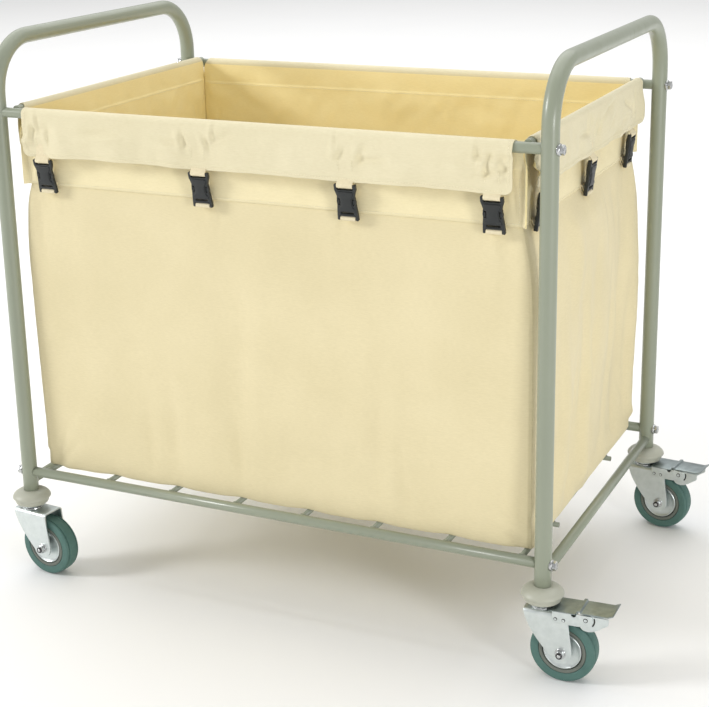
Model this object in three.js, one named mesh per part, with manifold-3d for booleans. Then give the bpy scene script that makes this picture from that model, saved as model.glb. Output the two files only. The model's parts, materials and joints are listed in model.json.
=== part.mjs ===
// A housekeeping linen cart: two bent-tube end frames on swivel casters, joined by bolted rails, with a
// canvas bag whose four cuffs fold over the top rails and fasten with side-release buckles.
// Millimetres, +Z up, +X along the cart towards its braked end, -Y the front. The origin is on the floor,
// at the middle of the box that the whole cart fills.
import * as THREE from "three";
import { mergeVertices } from "three/addons/utils/BufferGeometryUtils.js";
import Module from "manifold-3d";

const wasm = await Module();
wasm.setup();

// ---- driving dimensions ----
const POST_SPACING_X = 910; // between post centres, along the cart
const POST_SPACING_Y = 580; // between post centres, across the cart
const POST_RADIUS = 12.7;
const POST_WALL = 1.5;
const HANDLE_Z = 901; // centre line of the top of the end frames
const HANDLE_BEND = 85; // centre-line radius of the two upper bends
const RAIL_RADIUS = 8;
const RAIL_WALL = 1.5;
const TOP_RAIL_Z = 790;
const BASE_RAIL_Z = 178;
const CROSS_TUBE_DROP = 18; // the welded cross tube lies this far under the base rails
const SIDE_BAR_RADIUS = 6.35;
const SIDE_BAR_INSET = 32; // from the post centres to the side bars of the bag
const SIDE_BAR_RAISE = 5; // the side bars sit this far above the top rails' centre line
const SLAT_RADIUS = 4.5;
const SLAT_COUNT = 8;
const SLAT_PITCH = 120;
const SUPPORT_RADIUS = 4;
const SUPPORT_Y = 143; // the two rods under the slats lie this far each side of the middle
const GAP = 0.3; // between neighbouring solids

const WHEEL_RADIUS = 50;
const TYRE_HALF_WIDTH = 14;
const TYRE_SEAT_RADIUS = 29.8;
const TYRE_SIDES = 28; // facets round the tread
const CASTER_TRAIL = 35;
const FORK_INNER = 19; // half the clear width between the fork's legs
const FORK_SHEET = 2.5;
const FORK_TOP_Z = 113;
const FORK_REAR = -23;
const FORK_FRONT = 45;
const AXLE_RADIUS = 4;
const AXLE_BOSS_RADIUS = 16; // round lower end of each fork leg
const BUMPER_RADIUS = 32;
const BUMPER_BOTTOM_Z = 121;
const BUMPER_TOP_Z = 144;
const PEDAL_REACH = 112; // from the swivel axis to the tip of the pedal
const PEDAL_PIVOT = [71.6, 111.5]; // along the trail and up, from the swivel axis on the floor
const SHOE_REACH = 20; // from the pedal's pivot to the foot of the brake shoe
const SHOE_REST_ANGLE = 257; // degrees, direction of the shoe from the pivot while the brake is off
// Degrees that each caster has swung from straight behind, as it stands.
const CASTER_SWING = { left_front: -6, left_rear: 9, right_front: 1, right_rear: -8 };

const BOLT_RADIUS = 4;
const BOLT_HOLE_RADIUS = 4.4;
const BOLT_PLUG = 40; // length of the solid threaded plug in each rail end

const CLOTH = 3; // thickness of the bag's walls
const BAND_SEAM_Z = 676; // seam between the bag's top band and its body
const CUFF_DROP = 66; // how far the cuffs hang below the rail they fold over
const CUFF_CLOTH = 2.5;
const CUFF_SLACK = 0.5;
const FRONT_CUFF_HALF = 405;
const SIDE_CUFF_HALF = 272;
const BUCKLE_LENGTH = 56;
const BUCKLE_WIDTH = 34;
const BUCKLE_THICKNESS = 9;
const BUCKLE_TOP_Z = 721;
const BUCKLES_FRONT = [-371, -89, 153, 376];
const BUCKLES_REAR = [-371, -124, 124, 371];
const BUCKLES_SIDE = [-240, -6, 215];

const postX = POST_SPACING_X / 2;
const postY = POST_SPACING_Y / 2;
const sideBarX = postX - SIDE_BAR_INSET;
const sideBarZ = TOP_RAIL_Z + SIDE_BAR_RAISE;
const crossTubeZ = BASE_RAIL_Z - CROSS_TUBE_DROP;
const slatZ = BASE_RAIL_Z + 2;
const bagTopX = sideBarX - SIDE_BAR_RADIUS - 2;
const bagTopY = postY - RAIL_RADIUS - 1.5;
const bagBottomZ = slatZ + SLAT_RADIUS + 2 * GAP;

// ---- materials ----
const paint = new THREE.MeshStandardMaterial({ color: 0xa3ab98, roughness: 0.45, metalness: 0.1 });
const zinc = new THREE.MeshStandardMaterial({ color: 0xb9c3c4, roughness: 0.35, metalness: 0.9 });
const canvas = new THREE.MeshStandardMaterial({ color: 0xeadfae, roughness: 0.9, metalness: 0 });
const blackPlastic = new THREE.MeshStandardMaterial({ color: 0x25292a, roughness: 0.45, metalness: 0 });
const bumperPlastic = new THREE.MeshStandardMaterial({ color: 0xa9ab99, roughness: 0.6, metalness: 0 });
const tyreRubber = new THREE.MeshStandardMaterial({ color: 0x557a72, roughness: 0.7, metalness: 0 });

// ---- solids ----
const vec = (x, y, z) => new THREE.Vector3(x, y, z);

/** A closed geometry as a manifold solid. */
function solidOf(geometry) {
  const bare = new THREE.BufferGeometry().setAttribute("position", geometry.getAttribute("position"));
  if (geometry.index) bare.setIndex(geometry.index);
  const merged = mergeVertices(bare, 1e-3);
  const vertProperties = merged.attributes.position.array;
  const triVerts = new Uint32Array(merged.index.array);
  return new wasm.Manifold(new wasm.Mesh({ numProp: 3, vertProperties, triVerts }));
}

/** A manifold solid back as a geometry. */
function geometryOf(solid) {
  const mesh = solid.getMesh();
  const geometry = new THREE.BufferGeometry();
  geometry.setAttribute("position", new THREE.BufferAttribute(Float32Array.from(mesh.vertProperties), 3));
  geometry.setIndex(new THREE.BufferAttribute(Uint32Array.from(mesh.triVerts), 1));
  geometry.computeVertexNormals();
  return geometry;
}

const join = (geometries) => geometries.map(solidOf).reduce((a, b) => a.add(b));
const cut = (solid, geometries) => geometries.reduce((a, g) => a.subtract(solidOf(g)), solid);

/** A round bar between two points. */
function rod(from, to, radius, sides = 16) {
  const axis = new THREE.Vector3().subVectors(to, from);
  const middle = new THREE.Vector3().addVectors(from, to).multiplyScalar(0.5);
  const turn = new THREE.Quaternion().setFromUnitVectors(vec(0, 1, 0), axis.clone().normalize());
  return new THREE.CylinderGeometry(radius, radius, axis.length(), sides)
    .applyQuaternion(turn)
    .translate(middle.x, middle.y, middle.z);
}

function block(x0, x1, y0, y1, z0, z1) {
  const middle = [(x0 + x1) / 2, (y0 + y1) / 2, (z0 + z1) / 2];
  return new THREE.BoxGeometry(x1 - x0, y1 - y0, z1 - z0).translate(...middle);
}

/**
 * A profile of [radius, height] pairs turned about the Z axis.
 * It closes on itself, or starts and ends on the axis.
 */
function turned(profile, sides = 16) {
  let twiceArea = 0;
  profile.forEach(([r, h], i) => {
    const [r2, h2] = profile[(i + 1) % profile.length];
    twiceArea += r * h2 - r2 * h;
  });
  const ordered = twiceArea > 0 ? profile : [...profile].reverse();
  const onAxis = ordered[0][0] === 0 || ordered[ordered.length - 1][0] === 0;
  const points = (onAxis ? ordered : [...ordered, ordered[0]]).map(([r, h]) => new THREE.Vector2(r, h));
  return new THREE.LatheGeometry(points, sides).rotateX(Math.PI / 2);
}

/** A path that is sampled only at its own stations, so a straight stretch takes one step. */
class StationPath extends THREE.Curve {
  constructor(stations) {
    super();
    this.stations = stations;
  }
  at(u) {
    return this.stations[Math.round(u * (this.stations.length - 1))];
  }
  getPointAt(u) {
    return this.at(u).point.clone();
  }
  getTangentAt(u) {
    return this.at(u).tangent.clone();
  }
}

/** The centre line of an end frame: up the front post, over the handle and down the rear post. */
function endFramePath(footZ) {
  const stations = [{ point: vec(0, -postY, footZ), tangent: vec(0, 0, 1) }];
  const steps = 6;
  for (const side of [-1, 1]) {
    for (let i = 0; i <= steps; i++) {
      const turn = (side < 0 ? i / steps : 1 - i / steps) * (Math.PI / 2);
      const y = side * (postY - HANDLE_BEND + HANDLE_BEND * Math.cos(turn));
      const z = HANDLE_Z - HANDLE_BEND + HANDLE_BEND * Math.sin(turn);
      stations.push({ point: vec(0, y, z), tangent: vec(0, Math.sin(turn), -side * Math.cos(turn)) });
    }
  }
  stations.push({ point: vec(0, postY, footZ), tangent: vec(0, 0, -1) });
  return new StationPath(stations);
}

function tubeAlong(path, radius) {
  const section = new THREE.Shape().absarc(0, 0, radius, 0, Math.PI * 2);
  const steps = path.stations.length - 1;
  return new THREE.ExtrudeGeometry(section, { extrudePath: path, steps, curveSegments: 8 });
}

/** A flat outline in the XZ plane, given thickness between two Y values. */
function plateXZ(shape, y0, y1, curveSegments = 6) {
  return new THREE.ExtrudeGeometry(shape, { depth: y1 - y0, bevelEnabled: false, curveSegments })
    .rotateX(Math.PI / 2)
    .translate(0, y1, 0);
}

function outline(points) {
  return new THREE.Shape(points.map(([x, y]) => new THREE.Vector2(x, y)));
}

/** A box whose four sides follow a list of levels, each {z, x: [low, high], y: [low, high]}. */
function loftedBox(levels) {
  const rows = levels.length - 1;
  const geometry = new THREE.BoxGeometry(1, 1, rows, 1, 1, rows);
  const position = geometry.getAttribute("position");
  for (let i = 0; i < position.count; i++) {
    const level = levels[Math.round(position.getZ(i) + rows / 2)];
    const x = level.x[position.getX(i) < 0 ? 0 : 1];
    const y = level.y[position.getY(i) < 0 ? 0 : 1];
    position.setXYZ(i, x, y, level.z);
  }
  return geometry;
}

// ---- the frame ----
const END_SIGNS = { left: -1, right: 1 };
const DEPTH_SIGNS = { front: -1, rear: 1 };
const POST_FOOT_Z = BUMPER_BOTTOM_Z + 1;

/** One bent tube with its welded cross tube, drilled for four rail bolts, in the plane where X is 0. */
function endFrame() {
  const bore = POST_RADIUS - POST_WALL;
  const crossBore = RAIL_RADIUS - RAIL_WALL;
  const outer = join([
    tubeAlong(endFramePath(POST_FOOT_Z), POST_RADIUS),
    rod(vec(0, -postY, crossTubeZ), vec(0, postY, crossTubeZ), RAIL_RADIUS),
  ]);
  const holes = [];
  for (const y of [-postY, postY]) {
    for (const z of [BASE_RAIL_Z, TOP_RAIL_Z]) {
      holes.push(rod(vec(-20, y, z), vec(20, y, z), BOLT_HOLE_RADIUS, 10));
    }
  }
  return cut(outer, [
    tubeAlong(endFramePath(POST_FOOT_Z - 5), bore),
    rod(vec(0, -postY, crossTubeZ), vec(0, postY, crossTubeZ), crossBore),
    ...holes,
  ]);
}

/** Cylinders a little larger than the two posts on one long side, to notch the ends of its rails. */
function postCutters(y, z) {
  return [-postX, postX].map((x) => rod(vec(x, y, z - 30), vec(x, y, z + 30), POST_RADIUS + GAP, 24));
}

/** What is hollowed out of a rail: its bore between the end plugs, and the bolt hole through each plug. */
function railBores(y, z) {
  const boreEnd = postX - POST_RADIUS - BOLT_PLUG;
  return [
    rod(vec(-boreEnd, y, z), vec(boreEnd, y, z), RAIL_RADIUS - RAIL_WALL, 16),
    rod(vec(-postX, y, z), vec(postX, y, z), BOLT_HOLE_RADIUS, 10),
  ];
}

function railTube(y, z) {
  return rod(vec(-postX, y, z), vec(postX, y, z), RAIL_RADIUS);
}

function topRail(y) {
  return cut(solidOf(railTube(y, TOP_RAIL_Z)), [...postCutters(y, TOP_RAIL_Z), ...railBores(y, TOP_RAIL_Z)]);
}

/** The bar that carries one end of the bag. Its ends are notched to sit against the two top rails. */
function sideBar(x) {
  const bar = solidOf(rod(vec(x, -postY, sideBarZ), vec(x, postY, sideBarZ), SIDE_BAR_RADIUS, 14));
  const notches = [-postY, postY].map((y) =>
    rod(vec(x - 20, y, TOP_RAIL_Z), vec(x + 20, y, TOP_RAIL_Z), RAIL_RADIUS + GAP),
  );
  return cut(bar, notches);
}

/** The welded floor grid: two rails, eight slats between them and two support rods under the slats. */
function baseGrid() {
  const bars = [railTube(-postY, BASE_RAIL_Z), railTube(postY, BASE_RAIL_Z)];
  const firstSlatX = (-SLAT_PITCH * (SLAT_COUNT - 1)) / 2;
  for (let i = 0; i < SLAT_COUNT; i++) {
    const x = firstSlatX + i * SLAT_PITCH;
    bars.push(rod(vec(x, -postY, slatZ), vec(x, postY, slatZ), SLAT_RADIUS, 10));
  }
  const supportZ = slatZ - SLAT_RADIUS - SUPPORT_RADIUS + 0.8;
  const supportEnd = -firstSlatX + 12;
  for (const y of [-SUPPORT_Y, SUPPORT_Y]) {
    bars.push(rod(vec(-supportEnd, y, supportZ), vec(supportEnd, y, supportZ), SUPPORT_RADIUS, 10));
  }
  const z = BASE_RAIL_Z;
  const cutters = [-postY, postY].flatMap((y) => [...postCutters(y, z), ...railBores(y, z)]);
  return cut(join(bars), cutters);
}

/** A hex bolt on a saddle washer, along X with its head at +X, for a post whose axis is at the origin. */
function frameBolt() {
  const washerRadius = 8.8;
  const washerFace = POST_RADIUS + 2.3;
  const headTop = washerFace + 5.5;
  const headRadius = 7.5;
  const tip = -POST_RADIUS - 25;
  const bolt = join([
    rod(vec(tip, 0, 0), vec(headTop - 1, 0, 0), BOLT_RADIUS, 10),
    rod(vec(POST_RADIUS - 4, 0, 0), vec(washerFace, 0, 0), washerRadius, 16),
    rod(vec(washerFace - 0.5, 0, 0), vec(headTop, 0, 0), headRadius, 6),
  ]);
  const post = solidOf(rod(vec(0, 0, -20), vec(0, 0, 20), POST_RADIUS + GAP, 24));
  const shank = solidOf(rod(vec(tip, 0, 0), vec(POST_RADIUS + 1, 0, 0), BOLT_RADIUS, 10));
  return bolt.subtract(post).add(shank);
}

// ---- the bag ----
const BAG_LEVELS = [
  { z: bagBottomZ, x: [-bagTopX - 16, bagTopX + 16], y: [-bagTopY + 12, bagTopY - 8] },
  { z: 560, x: [-bagTopX - 18, bagTopX + 18], y: [-bagTopY + 1, bagTopY + 4] },
  { z: BAND_SEAM_Z - 2, x: [-bagTopX, bagTopX], y: [-bagTopY, bagTopY] },
  { z: TOP_RAIL_Z - GAP, x: [-bagTopX, bagTopX], y: [-bagTopY, bagTopY] },
];

/** The bag up to the rails, open at the top, with its band slit at the four corners. */
function bagBody() {
  const inset = ({ z, x, y }, newZ = z) => ({
    z: newZ,
    x: [x[0] + CLOTH, x[1] - CLOTH],
    y: [y[0] + CLOTH, y[1] - CLOTH],
  });
  const last = BAG_LEVELS.length - 1;
  const cavity = BAG_LEVELS.map((level, i) => inset(level, i === 0 ? level.z + CLOTH : level.z));
  cavity[last].z += 10;
  const slits = [];
  const slit = 6;
  for (const sx of [-1, 1]) {
    for (const sy of [-1, 1]) {
      const x = sx * bagTopX;
      const y = sy * bagTopY;
      slits.push(block(x - slit, x + slit, y - slit, y + slit, BAND_SEAM_Z, TOP_RAIL_Z + 20));
    }
  }
  return cut(solidOf(loftedBox(BAG_LEVELS)), [loftedBox(cavity), ...slits]);
}

/** A cuff folded over a bar of the given radius. It hangs at +X of the bar, and runs along Y. */
function cuff(barRadius, halfLength) {
  const inner = barRadius + CUFF_SLACK;
  const outer = inner + CUFF_CLOTH;
  const section = new THREE.Shape();
  section.moveTo(-outer, 0);
  section.absarc(0, 0, outer, Math.PI, 0, true);
  section.lineTo(outer, -CUFF_DROP);
  section.lineTo(inner, -CUFF_DROP);
  section.lineTo(inner, 0);
  section.absarc(0, 0, inner, 0, Math.PI, false);
  section.closePath();
  return plateXZ(section, -halfLength, halfLength, 5);
}

/** A side-release buckle standing on its lower strap bar, its face towards +X and its width along Y. */
function buckle() {
  const half = BUCKLE_WIDTH / 2;
  const face = outline([
    [-half + 3, 0], [half - 3, 0], [half - 2, 12], [half - 1, 26], [half - 3, 34], [half - 3, 42],
    [half, 48], [half, BUCKLE_LENGTH], [-half, BUCKLE_LENGTH], [-half, 48], [-half + 3, 42],
    [-half + 3, 34], [-half + 1, 26], [-half + 2, 12],
  ]);
  const depth = BUCKLE_THICKNESS;
  const body = new THREE.ExtrudeGeometry(face, { depth, bevelEnabled: false })
    .rotateX(Math.PI / 2)
    .rotateZ(Math.PI / 2)
    .translate(-depth / 2, 0, 0);
  const strapHalf = 12.8;
  const through = depth;
  const window = [22, 31];
  return cut(solidOf(body), [
    block(-through, through, -strapHalf, strapHalf, 2.5, 6.5),
    block(-through, through, -strapHalf, strapHalf, BUCKLE_LENGTH - 7, BUCKLE_LENGTH - 3),
    block(-2.5, 2.5, -half - 5, -half + 4, ...window),
    block(-2.5, 2.5, half - 4, half + 5, ...window),
  ]);
}

// ---- the casters; each one is built about its swivel axis and trails to +X ----
const SIDE_WALL = FORK_INNER + FORK_SHEET;

function bumper() {
  const bore = POST_RADIUS + 2 * GAP;
  return turned(
    [
      [bore, BUMPER_TOP_Z],
      [bore + 6, BUMPER_TOP_Z - 1],
      [BUMPER_RADIUS - 3, BUMPER_TOP_Z - 7],
      [BUMPER_RADIUS, BUMPER_TOP_Z - 12],
      [BUMPER_RADIUS - 1, BUMPER_BOTTOM_Z + 3],
      [BUMPER_RADIUS - 5, BUMPER_BOTTOM_Z],
      [bore, BUMPER_BOTTOM_Z],
    ],
    18,
  );
}

/** The plug in the post's foot, with the upper ball race and the riveted king pin under it. */
function casterStem() {
  const plug = POST_RADIUS - POST_WALL - GAP;
  const race = 19;
  const pin = 5.2;
  return turned(
    [
      [0, 106],
      [9, 106],
      [9, 110.1],
      [pin, 110.1],
      [pin, 116.2],
      [race, 116.2],
      [race, BUMPER_BOTTOM_Z - GAP],
      [plug, BUMPER_BOTTOM_Z - GAP],
      [plug, 165],
      [0, 168],
    ],
    14,
  );
}

/** Side outline of a fork leg: sloped behind, round about the axle, nearly upright in front. */
function legOutline() {
  const leg = new THREE.Shape();
  const left = Math.PI * 1.2;
  leg.moveTo(FORK_FRONT, FORK_TOP_Z);
  leg.lineTo(FORK_REAR, FORK_TOP_Z);
  leg.bezierCurveTo(
    FORK_REAR,
    92,
    -12,
    70,
    CASTER_TRAIL + AXLE_BOSS_RADIUS * Math.cos(left),
    WHEEL_RADIUS + AXLE_BOSS_RADIUS * Math.sin(left),
  );
  leg.absarc(CASTER_TRAIL, WHEEL_RADIUS, AXLE_BOSS_RADIUS, left, Math.PI * 2, false);
  leg.closePath();
  return leg;
}

/** The stamped plates riveted to a braked fork, which carry the pedal's pivot. */
function brakeBracket() {
  const sheet = 1.6;
  const [px, pz] = PEDAL_PIVOT;
  const round = 10.5;
  const side = new THREE.Shape();
  side.moveTo(21.6, 99);
  side.lineTo(62, 99.6);
  side.absarc(px, pz, round, Math.PI * 1.35, Math.PI * 2.4, false);
  side.lineTo(56, 118.6);
  side.lineTo(21.6, 117.2);
  side.closePath();
  const web = outline([
    [21.6, 113.2],
    [51, 113.2],
    [51, 118.4],
    [21.6, 117.2],
  ]);
  const outerFace = SIDE_WALL + sheet;
  return [
    plateXZ(side, -outerFace, -SIDE_WALL + 0.2),
    plateXZ(side, SIDE_WALL - 0.2, outerFace),
    cut(solidOf(plateXZ(web, -outerFace, outerFace)), [block(23.6, 60, -SIDE_WALL, SIDE_WALL, 100, 115.6)]),
  ];
}

/** The fork: two legs, a top plate with the lower ball race and, if braked, the riveted brake bracket. */
function casterFork(braked) {
  const legs = [
    plateXZ(legOutline(), -SIDE_WALL, -FORK_INNER),
    plateXZ(legOutline(), FORK_INNER, SIDE_WALL),
  ];
  const plate = block(FORK_REAR, FORK_FRONT, -SIDE_WALL, SIDE_WALL, FORK_TOP_Z - FORK_SHEET, FORK_TOP_Z);
  const race = turned([
    [6, FORK_TOP_Z - 1],
    [17, FORK_TOP_Z - 1],
    [17, FORK_TOP_Z + 1.5],
    [14, FORK_TOP_Z + 2.8],
    [6, FORK_TOP_Z + 2.8],
  ]);
  let fork = join([...legs, plate, race]);
  fork = cut(fork, [
    rod(vec(0, 0, FORK_TOP_Z - 10), vec(0, 0, FORK_TOP_Z + 10), 5.8, 12),
    rod(vec(CASTER_TRAIL, -40, WHEEL_RADIUS), vec(CASTER_TRAIL, 40, WHEEL_RADIUS), AXLE_RADIUS + GAP, 12),
  ]);
  if (!braked) return fork;
  const [left, right, web] = brakeBracket();
  const [px, pz] = PEDAL_PIVOT;
  const pivot = rod(vec(px, -SIDE_WALL - 3, pz), vec(px, SIDE_WALL + 3, pz), 3, 10);
  return fork.add(solidOf(left)).add(solidOf(right)).add(web).add(solidOf(pivot));
}

/** The shoe under the pedal's barrel: a short arm with a foot that comes down on the tread. */
function brakeShoe() {
  const halfWidth = 11;
  const arm = new THREE.BoxGeometry(SHOE_REACH, 2 * halfWidth, 4).translate(SHOE_REACH / 2, 0, 0);
  const foot = new THREE.BoxGeometry(3, 2 * halfWidth, 12).translate(SHOE_REACH - 1.5, 0, 0);
  const shoe = geometryOf(join([arm, foot]));
  const [px, pz] = PEDAL_PIVOT;
  return shoe.rotateY(THREE.MathUtils.degToRad(-SHOE_REST_ANGLE)).translate(px, 0, pz);
}

/** The brake pedal: a tread plate on two cheeks that hang on the bracket's pivot, with the shoe between. */
function brakePedal() {
  const [px, pz] = PEDAL_PIVOT;
  const outer = SIDE_WALL - GAP;
  const sheet = 1.6;
  const reach = PEDAL_REACH - px;
  const cheek = outline([
    [px - 9, pz + 7],
    [px - 9, pz - 13],
    [px - 4, pz - 17.5],
    [px + 4, pz - 18.7],
    [px + 11, pz - 17],
    [px + 18, pz - 13],
    [px + reach - 7, pz - 3],
    [px + reach - 7, pz + 8],
  ]);
  const tread = outline([
    [px - 9, pz + 6],
    [px + reach - 7, pz + 8],
    [px + reach, pz + 12],
    [px + reach - 1.4, pz + 13.4],
    [px + reach - 8, pz + 10],
    [px - 9, pz + 8],
  ]);
  const pedal = join([
    plateXZ(cheek, -outer, -outer + sheet),
    plateXZ(cheek, outer - sheet, outer),
    plateXZ(tread, -outer, outer),
    rod(vec(px, -outer, pz), vec(px, outer, pz), 7, 12),
    brakeShoe(),
  ]);
  return cut(pedal, [rod(vec(px, -40, pz), vec(px, 40, pz), 3 + GAP, 12)]);
}

/** The axle bolt, its nut on the -Y side and its head on the other. */
function casterAxle() {
  const at = (y) => vec(CASTER_TRAIL, y, WHEEL_RADIUS);
  const washer = SIDE_WALL + GAP;
  return join([
    rod(at(-washer - 9), at(washer + 4), AXLE_RADIUS, 12),
    rod(at(-washer - 6), at(-washer), 7.2, 6),
    rod(at(washer), at(washer + 5), 7.2, 6),
  ]);
}

/** The wheel's centre: a boss that turns on the axle, a dished web and the rim that carries the tyre. */
function wheelHub() {
  const bore = AXLE_RADIUS + GAP;
  const boss = FORK_INNER - GAP;
  const half = [
    [bore, boss],
    [9, boss],
    [11, 9],
    [25, 8],
    [TYRE_SEAT_RADIUS - GAP, 12.5],
  ];
  return turned([...half, ...half.map(([r, h]) => [r, -h]).reverse()], 20)
    .rotateX(Math.PI / 2)
    .translate(CASTER_TRAIL, 0, WHEEL_RADIUS);
}

/** The tyre, with flat flanks and rounded shoulders, turned to stand on a facet of its tread. */
function wheelTyre() {
  const half = [
    [TYRE_SEAT_RADIUS, 13],
    [WHEEL_RADIUS - 5, TYRE_HALF_WIDTH],
    [WHEEL_RADIUS - 1.2, TYRE_HALF_WIDTH - 3],
    [WHEEL_RADIUS, 5],
  ];
  const halfFacet = Math.PI / TYRE_SIDES;
  const toFlats = 1 / Math.cos(halfFacet);
  return turned([...half, ...half.map(([r, h]) => [r, -h]).reverse()], TYRE_SIDES)
    .rotateZ(halfFacet)
    .scale(toFlats, toFlats, 1)
    .rotateX(Math.PI / 2)
    .translate(CASTER_TRAIL, 0, WHEEL_RADIUS);
}

// ---- assembly ----
const cart = new THREE.Group();

/** Adds one named piece at a place, turned about Z. Takes a solid or a geometry. */
function addPiece(name, shape, material, place = vec(0, 0, 0), turnZ = 0) {
  const geometry = shape.isBufferGeometry ? shape : geometryOf(shape);
  const mesh = new THREE.Mesh(geometry, material);
  mesh.name = name;
  mesh.position.copy(place);
  mesh.rotation.z = turnZ;
  cart.add(mesh);
  return mesh;
}

function addFrame() {
  for (const [end, sx] of Object.entries(END_SIGNS)) {
    addPiece(`end_frame_${end}`, endFrame(), paint, vec(sx * postX, 0, 0));
    addPiece(`side_bar_${end}`, sideBar(sx * sideBarX), paint);
    for (const [depth, sy] of Object.entries(DEPTH_SIGNS)) {
      for (const [level, z] of Object.entries({ bottom: BASE_RAIL_Z, top: TOP_RAIL_Z })) {
        const place = vec(sx * postX, sy * postY, z);
        addPiece(`frame_bolt_${end}_${depth}_${level}`, frameBolt(), zinc, place, sx < 0 ? Math.PI : 0);
      }
    }
  }
  addPiece("top_rail_front", topRail(-postY), paint);
  addPiece("top_rail_rear", topRail(postY), paint);
  addPiece("base_grid", baseGrid(), paint);
}

function addCaster(end, depth) {
  const braked = end === "right";
  const place = vec(END_SIGNS[end] * postX, DEPTH_SIGNS[depth] * postY, 0);
  const where = `${end}_${depth}`;
  const swing = THREE.MathUtils.degToRad(CASTER_SWING[where]);
  addPiece(`bumper_${where}`, bumper(), bumperPlastic, place);
  addPiece(`caster_stem_${where}`, casterStem(), zinc, place);
  addPiece(`caster_fork_${where}`, casterFork(braked), zinc, place, swing);
  addPiece(`caster_axle_${where}`, casterAxle(), zinc, place, swing);
  addPiece(`wheel_hub_${where}`, wheelHub(), zinc, place, swing);
  addPiece(`wheel_tyre_${where}`, wheelTyre(), tyreRubber, place, swing);
  if (braked) addPiece(`brake_pedal_${where}`, brakePedal(), zinc, place, swing);
}

/** One buckle on the side of the bag that faces the angle turnZ, its foot tilted in towards the bag. */
function addBuckle(name, outward, along, turnZ, tiltIn) {
  const mesh = addPiece(name, buckle(), blackPlastic, vec(0, 0, 0), turnZ);
  mesh.rotation.set(0, tiltIn, turnZ, "ZYX");
  mesh.position.set(outward, along, BUCKLE_TOP_Z).applyAxisAngle(vec(0, 0, 1), turnZ);
  mesh.geometry.translate(0, 0, -BUCKLE_LENGTH);
}

function addBag() {
  addPiece("bag_body", bagBody(), canvas);
  const quarter = Math.PI / 2;
  const sideCuff = () => cuff(SIDE_BAR_RADIUS, SIDE_CUFF_HALF);
  const longCuff = () => cuff(RAIL_RADIUS, FRONT_CUFF_HALF);
  addPiece("bag_cuff_right", sideCuff(), canvas, vec(sideBarX, 0, sideBarZ));
  addPiece("bag_cuff_left", sideCuff(), canvas, vec(-sideBarX, 0, sideBarZ), Math.PI);
  addPiece("bag_cuff_front", longCuff(), canvas, vec(0, -postY, TOP_RAIL_Z), -quarter);
  addPiece("bag_cuff_rear", longCuff(), canvas, vec(0, postY, TOP_RAIL_Z), quarter);
  // Each side's own +Y is +X on the front and +Y on the right, so only the other two lists are negated.
  const longOut = postY + RAIL_RADIUS + 2;
  const sideOut = sideBarX + SIDE_BAR_RADIUS + 2;
  const longTilt = Math.atan2(12, BUCKLE_LENGTH);
  const sideTilt = Math.atan2(7, BUCKLE_LENGTH);
  BUCKLES_FRONT.forEach((x, i) => addBuckle(`buckle_front_${i + 1}`, longOut, x, -quarter, longTilt));
  BUCKLES_REAR.forEach((x, i) => addBuckle(`buckle_rear_${i + 1}`, longOut, -x, quarter, longTilt));
  BUCKLES_SIDE.forEach((y, i) => addBuckle(`buckle_right_${i + 1}`, sideOut, y, 0, sideTilt));
  BUCKLES_SIDE.forEach((y, i) => addBuckle(`buckle_left_${i + 1}`, sideOut, -y, Math.PI, sideTilt));
}

addFrame();
for (const end of Object.keys(END_SIGNS)) {
  for (const depth of Object.keys(DEPTH_SIGNS)) addCaster(end, depth);
}
addBag();

// The origin goes to the middle of the whole cart's footprint.
const footprint = new THREE.Box3().setFromObject(cart).getCenter(vec(0, 0, 0));
cart.position.set(-footprint.x, -footprint.y, 0);

export default cart;
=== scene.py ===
import json
import math
import random

import bmesh
import bpy
from mathutils import Matrix, Vector, noise


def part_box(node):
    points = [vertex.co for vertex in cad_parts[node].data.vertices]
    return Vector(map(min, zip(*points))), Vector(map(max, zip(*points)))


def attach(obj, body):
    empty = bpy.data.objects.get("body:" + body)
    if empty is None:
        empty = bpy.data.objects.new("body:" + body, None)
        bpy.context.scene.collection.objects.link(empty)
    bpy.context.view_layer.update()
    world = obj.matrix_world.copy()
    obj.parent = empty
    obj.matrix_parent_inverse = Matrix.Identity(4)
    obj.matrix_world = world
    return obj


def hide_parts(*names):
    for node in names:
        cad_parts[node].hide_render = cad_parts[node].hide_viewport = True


# Looks for a housekeeping linen cart. Shapes are drawn in millimetres about the middle of the four posts
# on the floor, or about a caster's swivel axis, and are placed in the row frame in metres.

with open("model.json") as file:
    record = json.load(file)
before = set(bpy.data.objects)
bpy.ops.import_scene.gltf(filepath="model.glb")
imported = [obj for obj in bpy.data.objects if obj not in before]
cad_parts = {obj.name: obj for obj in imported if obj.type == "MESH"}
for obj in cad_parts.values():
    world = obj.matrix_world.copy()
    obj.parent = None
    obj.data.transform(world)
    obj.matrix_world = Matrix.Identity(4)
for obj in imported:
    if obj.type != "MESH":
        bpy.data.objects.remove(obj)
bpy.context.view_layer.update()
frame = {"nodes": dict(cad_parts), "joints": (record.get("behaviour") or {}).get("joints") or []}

MM = 0.001
X, Y, Z = Vector((1, 0, 0)), Vector((0, 1, 0)), Vector((0, 0, 1))


# ---- sizes read from the frame, in millimetres ----
def low(node):
    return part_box(node)[0] / MM


def high(node):
    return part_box(node)[1] / MM


def middle(node):
    return (low(node) + high(node)) / 2


def joint_place(name):
    """Where a joint's axis is, in millimetres in the row frame."""
    for joint in frame["joints"]:
        if joint["name"] == name:
            return Vector(joint["pos_m"]) / MM
    raise KeyError(name)


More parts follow.
